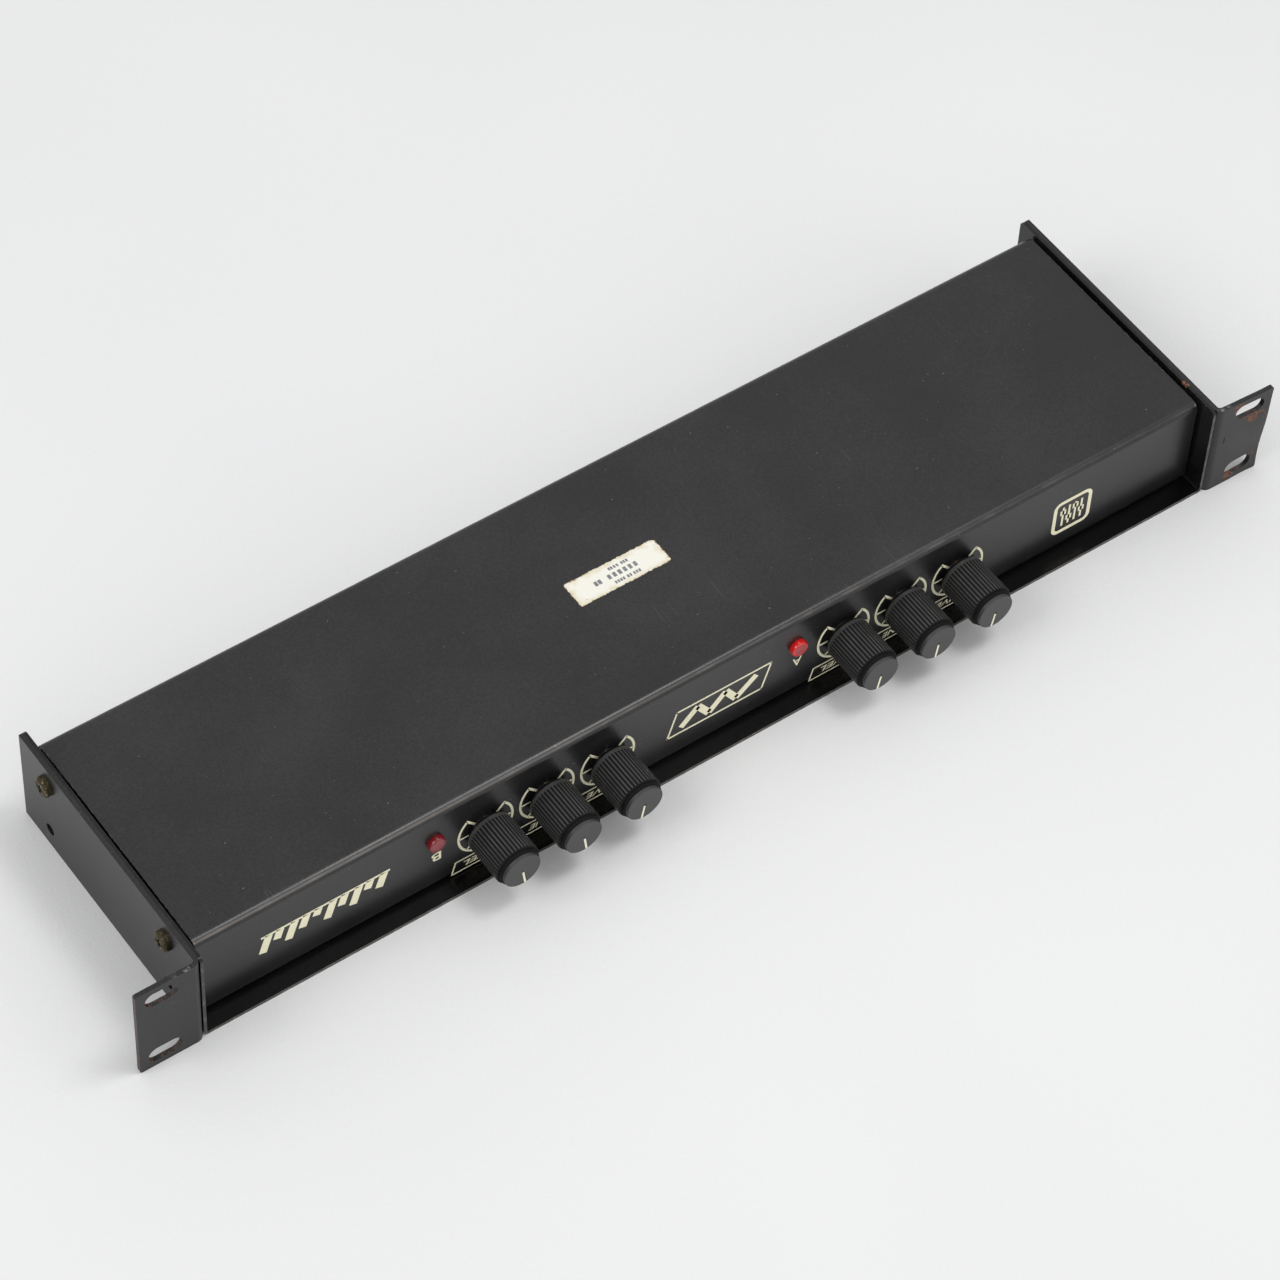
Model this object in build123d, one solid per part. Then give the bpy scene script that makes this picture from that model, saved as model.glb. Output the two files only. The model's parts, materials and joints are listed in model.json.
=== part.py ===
from build123d import *
import os

# A two-channel rack effects unit, one rack unit high, lying upside down on its top cover.
# Millimetres. X runs along the front panel, +Y from front to back, +Z up as it lies.
# The origin is the centre of the four rack slots, on the front face of the ears.

# ---- driving dimensions -------------------------------------------------------------------------
RACK_WIDTH = 482.6              # over both ears, the 19 inch standard
UNIT_HEIGHT = 44.0              # ears and cover flanges
HALF_HEIGHT = UNIT_HEIGHT / 2

EAR_SHEET = 1.8
EAR_LEG_OUTER = 217.5           # outer face of an ear's side leg, from the middle
EAR_DEPTH = 113.5
EAR_BEND_OUTER = 3.0
SLOT_LENGTH = 13.0
SLOT_WIDTH = 6.8
SLOT_X = 231.3                  # slot centre, from the middle
SLOT_PITCH_Z = 31.75            # the rack standard's wide hole spacing
SIDE_HOLE_Y = (20.2, 96.4)      # holes through ear and cover flange, front and rear
SIDE_HOLE_Z = 12.7              # the holes are this far above and below the middle
SIDE_HOLE_RADIUS = 2.4

SHEET = 1.2                     # cover and chassis sheet
BEND_OUTER = 2.0
BEND_INNER = BEND_OUTER - SHEET
TRAY_BEND_OUTER = 3.0
TRAY_BEND_INNER = TRAY_BEND_OUTER - SHEET
COVER_OUTER = EAR_LEG_OUTER - EAR_SHEET
COVER_FRONT = 1.0
COVER_REAR = 114.5
FLANGE_CORNER = 2.0

TRAY_HALF_WIDTH = 213.2
TRAY_TOP = 20.6                 # outer face of the bottom plate, which faces up as the unit lies
TRAY_LOW = -20.5                # folded lips of the tray, just clear of the cover
PANEL_FRONT = 8.4
PANEL_BACK = PANEL_FRONT + SHEET
REAR_OUTER = 108.2
REAR_INNER = REAR_OUTER - SHEET
LIP_WIDTH = 9.0
TAB_DEPTH = 22.0                # end tabs of front and rear panel, which take the rivet nuts
TAB_HALF_HEIGHT = 17.0

SCREW_RADIUS = 2.08             # number 8 machine screw
SCREW_HEAD_RADIUS = 4.0
SCREW_HEAD_HEIGHT = 2.6
SCREW_LENGTH = 12.0
RIVET_FLANGE_RADIUS = 4.6
RIVET_BODY_RADIUS = 3.1

KNOB_PITCH = 25.4
GROUP_CENTRE = {"b": -72.2, "a": 80.2}
CONTROLS = ("level", "tone", "drive")
AXIS_Z = -1.5                   # height of the control shafts
# How far each pointer rests from straight down, degrees, clockwise as seen from the front.
REST_TURN = {"b": (-9.0, -9.0, 9.5), "a": (10.5, 7.5, 10.5)}

KNOB_BASE = PANEL_FRONT - 0.8
KNOB_FACE = -14.2
KNOB_RADIUS = 8.75
KNOB_COLLAR_RADIUS = 7.9
KNOB_CAP_RADIUS = 7.35
KNOB_CAP_THICKNESS = 1.4
COLLAR_LENGTH = 1.5
FLUTE_COUNT = 40
FLUTE_RADIUS = 0.42
FLUTE_START = 3.0               # smooth skirt between the base and the flutes
KNOB_RECESS_RADIUS = 6.5
KNOB_RECESS_DEPTH = 5.5
POINTER_WIDTH = 0.9
POINTER_DEPTH = 0.3

SHAFT_RADIUS = 3.0
SHAFT_CLEARANCE = 0.05
SHAFT_END = -9.0
BUSHING_RADIUS = 3.6
BUSHING_END = 3.6
POT_RADIUS = 8.3
POT_DEPTH = 9.0
ROTOR_RADIUS = 6.4
NUT_FLATS = 10.0
NUT_THICKNESS = 2.0
WASHER_THICKNESS = 0.5

LED_OFFSET_X = -46.2            # lens, from the middle of its knob group
LED_Z = 5.5
LENS_RADIUS = 3.4
LENS_HEIGHT = 2.3
LENS_BARREL_RADIUS = 2.45

POT_BOARD_FRONT = PANEL_BACK + POT_DEPTH + 0.6
BOARD_THICKNESS = 1.6

MAIN_BOARD_X = (-188.0, 112.0)
MAIN_BOARD_Y = (30.0, 104.0)
MAIN_BOARD_LOW = 11.8           # component side, facing the cover
MAIN_BOARD_HIGH = MAIN_BOARD_LOW + BOARD_THICKNESS
STANDOFF_X = (-180.0, -38.0, 104.0)
STANDOFF_Y = (34.0, 78.0)

JACKS = {"output_b": -170.0, "input_b": -140.0, "remote": -100.0, "output_a": -60.0, "input_a": -30.0}
JACK_Z = -1.5
JACK_BORE_RADIUS = 3.2
JACK_BUSHING_RADIUS = 4.7
JACK_BUSHING_END = 113.0
JACK_BODY = (16.0, 23.0, 15.0)
JACK_BORE_FLOOR = 87.0

INLET_X = 165.0
INLET_Z = -1.0
INLET_FLANGE = (50.0, 24.0, 2.5)
INLET_BODY = (27.5, 20.0)
INLET_CAVITY = (24.2, 16.2)
INLET_BACK = 91.0
INLET_SCREW_SPACING = 40.0
FUSE_X = 122.0

LABEL_CENTRE = (-7.0, 60.4)
LABEL_SIZE = (38.8, 12.0)
LABEL_THICKNESS = 0.12


# ---- helpers ------------------------------------------------------------------------------------
def facing_front(y):
    """A plane at y whose drawing axes are X and Z."""
    return Plane((0, y, 0), x_dir=(1, 0, 0), z_dir=(0, -1, 0))


def along_y(sketch, y_start, y_end):
    """Extrude a sketch drawn in X and Z from one depth to another."""
    return extrude(facing_front(y_start) * sketch, amount=y_start - y_end)


def rod_y(radius, x, z, y_start, y_end):
    return along_y(Pos(x, z) * Circle(radius), y_start, y_end)


def rod_x(radius, y, z, x_start, x_end):
    drawing = Plane((x_start, 0, 0), x_dir=(0, 1, 0), z_dir=(1, 0, 0))
    return extrude(drawing * Pos(y, z) * Circle(radius), amount=x_end - x_start)


def rod_z(radius, x, y, z_start, z_end):
    return extrude(Plane.XY.offset(z_start) * Pos(x, y) * Circle(radius), amount=z_end - z_start)


def block(x_range, y_range, z_range):
    """A box between two corners, given as ranges."""
    size = [high - low for low, high in (x_range, y_range, z_range)]
    middle = [(high + low) / 2 for low, high in (x_range, y_range, z_range)]
    return Pos(*middle) * Box(*size)


def knob_positions(channel):
    """The three control axes of a channel, from left to right as the unit lies."""
    centre = GROUP_CENTRE[channel]
    return [centre + step * KNOB_PITCH for step in (-1, 0, 1)]


def write(shape, name):
    export_step(shape, f"parts/{name}.step")


def write_group(shapes, name):
    write(Compound(children=list(shapes)), name)


# ---- sheet metal --------------------------------------------------------------------------------
def make_top_cover():
    """A plate with two side flanges; the front edge is a hood over the controls."""
    width = 2 * COVER_OUTER
    outer = Rectangle(width, UNIT_HEIGHT)
    outer = fillet(outer.vertices().group_by(Axis.Y)[0], BEND_OUTER)
    inner = Pos(0, SHEET) * Rectangle(width - 2 * SHEET, UNIT_HEIGHT)
    inner = fillet(inner.vertices().group_by(Axis.Y)[0], BEND_INNER)
    cover = along_y(outer - inner, COVER_FRONT, COVER_REAR)
    corners = cover.edges().filter_by(Axis.X).group_by(Axis.Z)[-1]
    cover = fillet(corners, FLANGE_CORNER)
    for y in SIDE_HOLE_Y:
        for z in (-SIDE_HOLE_Z, SIDE_HOLE_Z):
            cover -= rod_x(SIDE_HOLE_RADIUS, y, z, -COVER_OUTER - 1, COVER_OUTER + 1)
    return cover


def tray_shell():
    """Bottom plate, front panel, rear panel and folded lips, as one bent sheet."""
    depth = REAR_OUTER - PANEL_FRONT
    height = TRAY_TOP - TRAY_LOW
    centre_y = (REAR_OUTER + PANEL_FRONT) / 2
    centre_z = (TRAY_TOP + TRAY_LOW) / 2
    profile = RectangleRounded(depth, height, TRAY_BEND_OUTER)
    profile -= RectangleRounded(depth - 2 * SHEET, height - 2 * SHEET, TRAY_BEND_INNER)
    profile -= Pos(0, -height / 2) * Rectangle(depth - 2 * LIP_WIDTH, 4 * SHEET)
    drawing = Plane((-TRAY_HALF_WIDTH, centre_y, centre_z), x_dir=(0, 1, 0), z_dir=(1, 0, 0))
    return extrude(drawing * profile, amount=2 * TRAY_HALF_WIDTH)


def tray_tabs():
    """Upright end tabs behind the front panel and ahead of the rear panel."""
    tabs = []
    for side in (-1, 1):
        x_range = sorted((side * TRAY_HALF_WIDTH, side * (TRAY_HALF_WIDTH - SHEET)))
        z_range = (-TAB_HALF_HEIGHT, TAB_HALF_HEIGHT)
        tabs.append(block(x_range, (PANEL_BACK, PANEL_FRONT + TAB_DEPTH), z_range))
        tabs.append(block(x_range, (REAR_OUTER - TAB_DEPTH, REAR_INNER), z_range))
    return tabs


def make_end_tabs():
    """The four end tabs, each with its hole for a rivet nut."""
    tabs = []
    for tab in tray_tabs():
        for y in SIDE_HOLE_Y:
            tab -= rod_x(RIVET_BODY_RADIUS, y, SIDE_HOLE_Z, -TRAY_HALF_WIDTH - 1, TRAY_HALF_WIDTH + 1)
        tabs.append(tab)
    return tabs


def drilled_tray():
    """The whole tray with every hole that is cut in it."""
    tray = tray_shell()
    for channel in GROUP_CENTRE:
        for x in knob_positions(channel):
            tray -= rod_y(BUSHING_RADIUS + 0.1, x, AXIS_Z, PANEL_FRONT - 1, PANEL_BACK + 1)
        lens_x = GROUP_CENTRE[channel] + LED_OFFSET_X
        tray -= rod_y(LENS_BARREL_RADIUS + 0.05, lens_x, LED_Z, PANEL_FRONT - 1, PANEL_BACK + 1)
    for x in JACKS.values():
        tray -= rod_y(JACK_BUSHING_RADIUS + 0.1, x, JACK_Z, REAR_INNER - 1, REAR_OUTER + 1)
    cutout = Pos(INLET_X, INLET_Z) * Rectangle(INLET_BODY[0] + 0.6, INLET_BODY[1] + 0.6)
    tray -= along_y(cutout, REAR_INNER - 1, REAR_OUTER + 1)
    for side in (-1, 1):
        x = INLET_X + side * INLET_SCREW_SPACING / 2
        tray -= rod_y(1.7, x, INLET_Z, REAR_INNER - 1, REAR_OUTER + 1)
    tray -= rod_y(6.2, FUSE_X, INLET_Z, REAR_INNER - 1, REAR_OUTER + 1)
    return tray


def make_tray_walls():
    """The tray as three walls that meet where its two bends end: base plate, front and rear panel."""
    tray = drilled_tray()
    front_seam = PANEL_FRONT + TRAY_BEND_OUTER
    rear_seam = REAR_OUTER - TRAY_BEND_OUTER
    wide = (-TRAY_HALF_WIDTH - 1, TRAY_HALF_WIDTH + 1)
    tall = (TRAY_LOW - 1, TRAY_TOP + 1)
    plate_only = block(wide, (front_seam, rear_seam), (TRAY_TOP - SHEET, TRAY_TOP + 1))
    base_plate = tray & plate_only
    rest_of_tray = tray - plate_only
    front_panel = rest_of_tray & block(wide, (PANEL_FRONT - 1, PANEL_FRONT + LIP_WIDTH + 1), tall)
    rear_panel = rest_of_tray & block(wide, (REAR_OUTER - LIP_WIDTH - 1, REAR_OUTER + 1), tall)
    return {"base_plate": base_plate, "front_panel": front_panel, "rear_panel": rear_panel}


def make_rack_ear(side):
    """An L-shaped bracket: a side leg along the cover and a slotted front flange."""
    leg_inner = EAR_LEG_OUTER - EAR_SHEET
    half_width = RACK_WIDTH / 2
    corners = [
        (leg_inner, 0),
        (half_width, 0),
        (half_width, EAR_SHEET),
        (EAR_LEG_OUTER, EAR_SHEET),
        (EAR_LEG_OUTER, EAR_DEPTH),
        (leg_inner, EAR_DEPTH),
    ]
    profile = Polygon(*corners, align=None)
    convex = profile.vertices().sort_by_distance((leg_inner, 0))[0]
    profile = fillet(convex, EAR_BEND_OUTER)
    hollow = profile.vertices().sort_by_distance((EAR_LEG_OUTER, EAR_SHEET))[0]
    profile = fillet(hollow, EAR_BEND_OUTER - EAR_SHEET)
    ear = extrude(Plane.XY.offset(-HALF_HEIGHT) * profile, amount=UNIT_HEIGHT)
    for z in (-SLOT_PITCH_Z / 2, SLOT_PITCH_Z / 2):
        slot = Pos(SLOT_X, z) * SlotOverall(SLOT_LENGTH, SLOT_WIDTH)
        ear -= along_y(slot, -1, EAR_SHEET + 1)
    for y in SIDE_HOLE_Y:
        for z in (-SIDE_HOLE_Z, SIDE_HOLE_Z):
            ear -= rod_x(SIDE_HOLE_RADIUS, y, z, leg_inner - 1, EAR_LEG_OUTER + 1)
    tips = ear.edges().filter_by(Axis.Y).group_by(Axis.X)[-1]
    ear = fillet(tips, 1.0)
    return ear if side > 0 else mirror(ear, about=Plane.YZ)


def make_ear_screw(y, side):
    """A pan-head machine screw with a cross recess, pointing inwards."""
    face = EAR_LEG_OUTER
    head = rod_x(SCREW_HEAD_RADIUS, y, SIDE_HOLE_Z, face, face + SCREW_HEAD_HEIGHT)
    head = fillet(head.edges().sort_by(Axis.X)[-1], 1.4)
    shank = rod_x(SCREW_RADIUS, y, SIDE_HOLE_Z, face - SCREW_LENGTH, face)
    screw = head + shank
    for size_y, size_z in ((1.0, 4.6), (4.6, 1.0)):
        recess = Box(2.4, size_y, size_z)
        screw -= Pos(face + SCREW_HEAD_HEIGHT, y, SIDE_HOLE_Z) * recess
    return screw if side > 0 else mirror(screw, about=Plane.YZ)


def make_rivet_nut(y, side):
    """A blind rivet nut: its flange fills the gap between tab and cover flange."""
    flange_outer = COVER_OUTER - SHEET - 0.1
    flange = rod_x(RIVET_FLANGE_RADIUS, y, SIDE_HOLE_Z, TRAY_HALF_WIDTH, flange_outer)
    barrel = rod_x(RIVET_BODY_RADIUS - 0.05, y, SIDE_HOLE_Z, TRAY_HALF_WIDTH - 8, TRAY_HALF_WIDTH)
    bore = rod_x(SCREW_RADIUS + 0.05, y, SIDE_HOLE_Z, TRAY_HALF_WIDTH - 9, flange_outer + 1)
    nut = flange + barrel - bore
    return nut if side > 0 else mirror(nut, about=Plane.YZ)


# ---- controls -----------------------------------------------------------------------------------
def turned(shape, x, degrees):
    """Turn a piece about a control axis, clockwise as seen from the front."""
    centre = Pos(x, 0, AXIS_Z)
    return centre * Rot(0, degrees, 0) * centre.inverse() * shape


def make_knob(x):
    """A fluted push-on knob with a rounded base, a smooth collar and a seat for its cap."""
    collar_start = KNOB_FACE + KNOB_CAP_THICKNESS + COLLAR_LENGTH
    body = rod_y(KNOB_RADIUS, x, AXIS_Z, collar_start, KNOB_BASE)
    body = fillet(body.edges().sort_by(Axis.Y)[-1], 2.0)
    body = chamfer(body.edges().sort_by(Axis.Y)[0], 0.5)
    flutes = []
    for index in range(FLUTE_COUNT):
        flute = rod_y(FLUTE_RADIUS, x + KNOB_RADIUS + 0.1, AXIS_Z, collar_start - 1, KNOB_BASE - FLUTE_START)
        flutes.append(turned(flute, x, 360 * index / FLUTE_COUNT))
    body = body - flutes
    body += rod_y(KNOB_COLLAR_RADIUS, x, AXIS_Z, collar_start - COLLAR_LENGTH, collar_start)
    collar_edge = body.edges().filter_by(GeomType.CIRCLE).sort_by(Axis.Y)[0]
    body = chamfer(collar_edge, 0.4)
    recess = rod_y(KNOB_RECESS_RADIUS, x, AXIS_Z, KNOB_BASE - KNOB_RECESS_DEPTH, KNOB_BASE + 1)
    bore = rod_y(SHAFT_RADIUS, x, AXIS_Z, SHAFT_END - 0.5, KNOB_BASE)
    return body - recess - bore


def make_knob_cap(x):
    """The flat face disc, with a groove from its centre to its edge as the pointer."""
    cap = rod_y(KNOB_CAP_RADIUS, x, AXIS_Z, KNOB_FACE, KNOB_FACE + KNOB_CAP_THICKNESS)
    cap = fillet(cap.edges().sort_by(Axis.Y)[0], 0.25)
    groove_length = KNOB_CAP_RADIUS + 1
    groove = Pos(x, AXIS_Z - groove_length / 2) * Rectangle(POINTER_WIDTH, groove_length)
    return cap - along_y(groove, KNOB_FACE - 1, KNOB_FACE + POINTER_DEPTH)


def make_pot_shaft(x):
    """A round shaft that turns in the bushing and carries the rotor disc inside."""
    rotor_start = PANEL_BACK + 3.2
    shaft = rod_y(SHAFT_RADIUS, x, AXIS_Z, SHAFT_END, rotor_start)
    return shaft + rod_y(ROTOR_RADIUS, x, AXIS_Z, rotor_start, rotor_start + 1.5)


def make_pot_body(x):
    """A potentiometer housing with its threaded bushing, rotor space and three pins."""
    housing_end = PANEL_BACK + POT_DEPTH
    pot = rod_y(POT_RADIUS, x, AXIS_Z, PANEL_BACK, housing_end)
    pot += rod_y(BUSHING_RADIUS, x, AXIS_Z, BUSHING_END, PANEL_BACK)
    pot -= rod_y(ROTOR_RADIUS + 0.4, x, AXIS_Z, PANEL_BACK + 2.6, PANEL_BACK + 6.5)
    pot -= rod_y(SHAFT_RADIUS + SHAFT_CLEARANCE, x, AXIS_Z, BUSHING_END - 1, PANEL_BACK + 3)
    for pin_x in (x - 5, x, x + 5):
        z_range = (AXIS_Z - 6.0, AXIS_Z - 5.2)
        pot += block((pin_x - 0.6, pin_x + 0.6), (housing_end, POT_BOARD_FRONT), z_range)
    return pot


def make_pot_washer(x):
    outer = PANEL_FRONT - WASHER_THICKNESS
    washer = rod_y(5.6, x, AXIS_Z, outer, PANEL_FRONT)
    return washer - rod_y(BUSHING_RADIUS + 0.1, x, AXIS_Z, outer - 1, PANEL_FRONT + 1)


def make_pot_nut(x):
    back = PANEL_FRONT - WASHER_THICKNESS
    hexagon = Pos(x, AXIS_Z) * RegularPolygon(NUT_FLATS / 2, 6, major_radius=False)
    nut = along_y(hexagon, back - NUT_THICKNESS, back)
    return nut - rod_y(BUSHING_RADIUS, x, AXIS_Z, back - NUT_THICKNESS - 1, back + 1)


def make_led_lens(x):
    """A low red lens with a bevelled rim and a barrel that snaps into the panel."""
    front = PANEL_FRONT - LENS_HEIGHT
    lens = rod_y(LENS_RADIUS, x, LED_Z, front, PANEL_FRONT)
    lens = fillet(lens.edges().sort_by(Axis.Y)[0], 0.7)
    lens += rod_y(LENS_BARREL_RADIUS, x, LED_Z, PANEL_FRONT, PANEL_BACK + 1.5)
    return lens - rod_y(1.6, x, LED_Z, front + 1.2, PANEL_BACK + 2)


def make_led(x):
    """A 3 mm LED with its flange and two leads to the board."""
    flange_start = PANEL_BACK + 1.7
    led = rod_y(1.5, x, LED_Z, PANEL_FRONT - 0.9, flange_start)
    led += rod_y(1.9, x, LED_Z, flange_start, flange_start + 1)
    for lead_x in (x - 1.27, x + 1.27):
        z_range = (LED_Z - 0.25, LED_Z + 0.25)
        led += block((lead_x - 0.25, lead_x + 0.25), (flange_start + 1, POT_BOARD_FRONT), z_range)
    return led


# ---- boards -------------------------------------------------------------------------------------
def make_pot_board(channel):
    centre = GROUP_CENTRE[channel]
    y_range = (POT_BOARD_FRONT, POT_BOARD_FRONT + BOARD_THICKNESS)
    return block((centre - 52, centre + 36), y_range, (-14, 12))


def make_ribbon_cable(channel):
    """A flat cable: straight back from the control board, then up to the main board."""
    start = POT_BOARD_FRONT + BOARD_THICKNESS
    turn = start + 14
    path = FilletPolyline((start, -8), (turn, -8), (turn, MAIN_BOARD_LOW), radius=4)
    strip = offset(path, amount=0.45, side=Side.BOTH)
    strip = make_face(strip) if not strip.faces() else strip
    drawing = Plane((GROUP_CENTRE[channel] - 10, 0, 0), x_dir=(0, 1, 0), z_dir=(1, 0, 0))
    cable = extrude(drawing * strip, amount=20)
    keep = block((-200, 200), (start, turn + 5), (-12, MAIN_BOARD_LOW))
    return cable & keep


def make_main_board():
    board = block(MAIN_BOARD_X, MAIN_BOARD_Y, (MAIN_BOARD_LOW, MAIN_BOARD_HIGH))
    for x in STANDOFF_X:
        for y in STANDOFF_Y:
            board -= rod_z(1.6, x, y, MAIN_BOARD_LOW - 1, MAIN_BOARD_HIGH + 1)
    return board


def make_standoff(x, y):
    plate_inner = TRAY_TOP - SHEET
    post = extrude(Plane.XY.offset(MAIN_BOARD_HIGH) * Pos(x, y) * RegularPolygon(3.0, 6),
                   amount=plate_inner - MAIN_BOARD_HIGH)
    return post - rod_z(1.55, x, y, MAIN_BOARD_HIGH - 1, plate_inner - 1)


def make_board_screw(x, y):
    head = rod_z(2.8, x, y, MAIN_BOARD_LOW - 2.0, MAIN_BOARD_LOW)
    head = fillet(head.edges().sort_by(Axis.Z)[0], 1.0)
    return head + rod_z(1.5, x, y, MAIN_BOARD_LOW, MAIN_BOARD_HIGH + 3.5)


def make_op_amp(x, y):
    """An eight-pin amplifier, standing off the board on its pins."""
    body_high = MAIN_BOARD_LOW - 0.8
    chip = block((x - 4.7, x + 4.7), (y - 3.2, y + 3.2), (body_high - 3.3, body_high))
    for pin in range(4):
        pin_x = x + (pin - 1.5) * 2.54
        for side in (-1, 1):
            y_range = sorted((y + side * 3.2, y + side * 3.9))
            chip += block((pin_x - 0.5, pin_x + 0.5), y_range, (body_high - 1.8, MAIN_BOARD_LOW))
    return chip


def make_can_capacitor(x, y, radius, height):
    can = rod_z(radius, x, y, MAIN_BOARD_LOW - height, MAIN_BOARD_LOW)
    return fillet(can.edges().sort_by(Axis.Z)[0], 0.8)


def make_film_capacitor(x, y):
    body = block((x - 1.5, x + 1.5), (y - 3.6, y + 3.6), (MAIN_BOARD_LOW - 7.0, MAIN_BOARD_LOW))
    return fillet(body.edges().filter_by(Axis.Z), 0.4)


def make_resistor(x, y):
    """An axial resistor along Y with its bent leads."""
    axis_z = MAIN_BOARD_LOW - 1.6
    wire = 0.25
    body = rod_y(1.1, x, axis_z, y - 3.2, y + 3.2)
    body += block((x - wire, x + wire), (y - 5.0, y + 5.0), (axis_z - wire, axis_z + wire))
    for end_y in (y - 5.0 + wire, y + 5.0 - wire):
        y_range = (end_y - wire, end_y + wire)
        body += block((x - wire, x + wire), y_range, (axis_z, MAIN_BOARD_LOW))
    return body


def make_regulator(x, y):
    """A three-pin regulator with its tab bolted to a folded heat sink."""
    low = MAIN_BOARD_LOW - 19
    package = block((x - 5, x + 5), (y - 2.3, y + 2.3), (low + 3, low + 12))
    for pin_x in (x - 2.54, x, x + 2.54):
        package += block((pin_x - 0.4, pin_x + 0.4), (y - 0.3, y + 0.3), (low + 12, MAIN_BOARD_LOW))
    sink = block((x - 9, x + 9), (y + 2.3, y + 4.0), (low, MAIN_BOARD_LOW))
    for side in (-1, 1):
        x_range = sorted((x + side * 7.3, x + side * 9.0))
        sink += block(x_range, (y + 2.3, y + 12), (low, MAIN_BOARD_LOW))
    return package + sink


def make_relay(x, y):
    case = block((x - 10, x + 10), (y - 5, y + 5), (MAIN_BOARD_LOW - 11.5, MAIN_BOARD_LOW))
    return fillet(case.edges().filter_by(Axis.Z), 0.6)


TRANSFORMER = (84.0, 56.0)
CORE_SIZE = (41.0, 16.0, 28.0)


def make_transformer_core():
    """The laminated stack, with two windows for the coil."""
    x, y = TRANSFORMER
    width, depth, height = CORE_SIZE
    high = MAIN_BOARD_LOW - 0.5
    core = block((x - width / 2, x + width / 2), (y - depth / 2, y + depth / 2), (high - height, high))
    for side in (-1, 1):
        x_range = sorted((x + side * 7, x + side * 14))
        core -= block(x_range, (y - depth, y + depth), (high - height + 6, high - 6))
    return core


def make_transformer_coil():
    """The wound bobbin around the middle limb, with pins to the board."""
    x, y = TRANSFORMER
    width, depth, height = CORE_SIZE
    high = MAIN_BOARD_LOW - 0.5
    low = high - height
    coil = block((x - 13.8, x + 13.8), (y - 14, y + 14), (low + 6.2, high - 6.2))
    coil = fillet(coil.edges().filter_by(Axis.Z), 3.0)
    coil -= block((x - 7.2, x + 7.2), (y - depth / 2 - 0.2, y + depth / 2 + 0.2), (low, high))
    for pin_x in (x - 10, x, x + 10):
        for side in (-1, 1):
            coil += rod_z(0.5, pin_x, y + side * 12, high - 6.2, MAIN_BOARD_LOW)
    return coil


# ---- rear panel ---------------------------------------------------------------------------------
def make_jack(x):
    """A 6.35 mm phone jack: plastic body, threaded bushing and board pins."""
    width, depth, height = JACK_BODY
    y_range = (REAR_INNER - depth, REAR_INNER)
    z_range = (JACK_Z - height / 2, JACK_Z + height / 2)
    jack = block((x - width / 2, x + width / 2), y_range, z_range)
    jack = fillet(jack.edges().filter_by(Axis.Y), 1.0)
    jack += rod_y(JACK_BUSHING_RADIUS, x, JACK_Z, REAR_INNER, JACK_BUSHING_END)
    jack -= rod_y(JACK_BORE_RADIUS, x, JACK_Z, JACK_BORE_FLOOR, JACK_BUSHING_END + 1)
    for pin_x in (x - 5, x + 5):
        for pin_y in (REAR_INNER - 20, REAR_INNER - 10):
            jack += block((pin_x - 0.6, pin_x + 0.6), (pin_y - 0.3, pin_y + 0.3), (z_range[1], MAIN_BOARD_LOW))
    return jack


def make_jack_nut(x):
    hexagon = Pos(x, JACK_Z) * RegularPolygon(6.35, 6, major_radius=False)
    nut = along_y(hexagon, REAR_OUTER, REAR_OUTER + 2.4)
    return nut - rod_y(JACK_BUSHING_RADIUS, x, JACK_Z, REAR_OUTER - 1, REAR_OUTER + 4)


def make_mains_inlet():
    """An appliance inlet: flange outside the rear panel, open cavity with three slots for its pins."""
    flange = Pos(INLET_X, INLET_Z) * RectangleRounded(INLET_FLANGE[0], INLET_FLANGE[1], 4)
    flange_end = REAR_OUTER + INLET_FLANGE[2]
    inlet = along_y(flange, REAR_OUTER, flange_end)
    body = Pos(INLET_X, INLET_Z) * RectangleRounded(INLET_BODY[0], INLET_BODY[1], 2.5)
    inlet += along_y(body, INLET_BACK, REAR_OUTER)
    cavity = Rectangle(INLET_CAVITY[0], INLET_CAVITY[1])
    cavity = chamfer(cavity.vertices().group_by(Axis.Y)[-1], 4.0)
    inlet -= along_y(Pos(INLET_X, INLET_Z) * cavity, INLET_BACK + 2.5, flange_end + 1)
    for pin in inlet_pin_places():
        inlet -= pin
    for side in (-1, 1):
        x = INLET_X + side * INLET_SCREW_SPACING / 2
        inlet -= rod_y(1.7, x, INLET_Z, REAR_OUTER - 1, flange_end + 1)
    return inlet


def inlet_pin_places():
    """Two line pins side by side and the earth pin between and above them."""
    pins = []
    for dx, dz in ((-7.0, -2.0), (0.0, 2.5), (7.0, -2.0)):
        x = INLET_X + dx
        z = INLET_Z + dz
        pins.append(block((x - 1, x + 1), (INLET_BACK - 5, REAR_INNER - 2), (z - 2, z + 2)))
    return pins


def make_inlet_screw(side):
    x = INLET_X + side * INLET_SCREW_SPACING / 2
    outer = REAR_OUTER + INLET_FLANGE[2]
    head = rod_y(2.8, x, INLET_Z, outer, outer + 1.8)
    head = fillet(head.edges().sort_by(Axis.Y)[-1], 0.9)
    screw = head + rod_y(1.5, x, INLET_Z, REAR_INNER - 5, outer)
    return screw - Pos(x, outer + 1.8, INLET_Z) * Box(4.2, 1.6, 0.8)


def make_inlet_nut(side):
    x = INLET_X + side * INLET_SCREW_SPACING / 2
    hexagon = Pos(x, INLET_Z) * RegularPolygon(2.75, 6, major_radius=False)
    nut = along_y(hexagon, REAR_INNER - 2.4, REAR_INNER)
    return nut - rod_y(1.55, x, INLET_Z, REAR_INNER - 4, REAR_INNER + 1)


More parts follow.
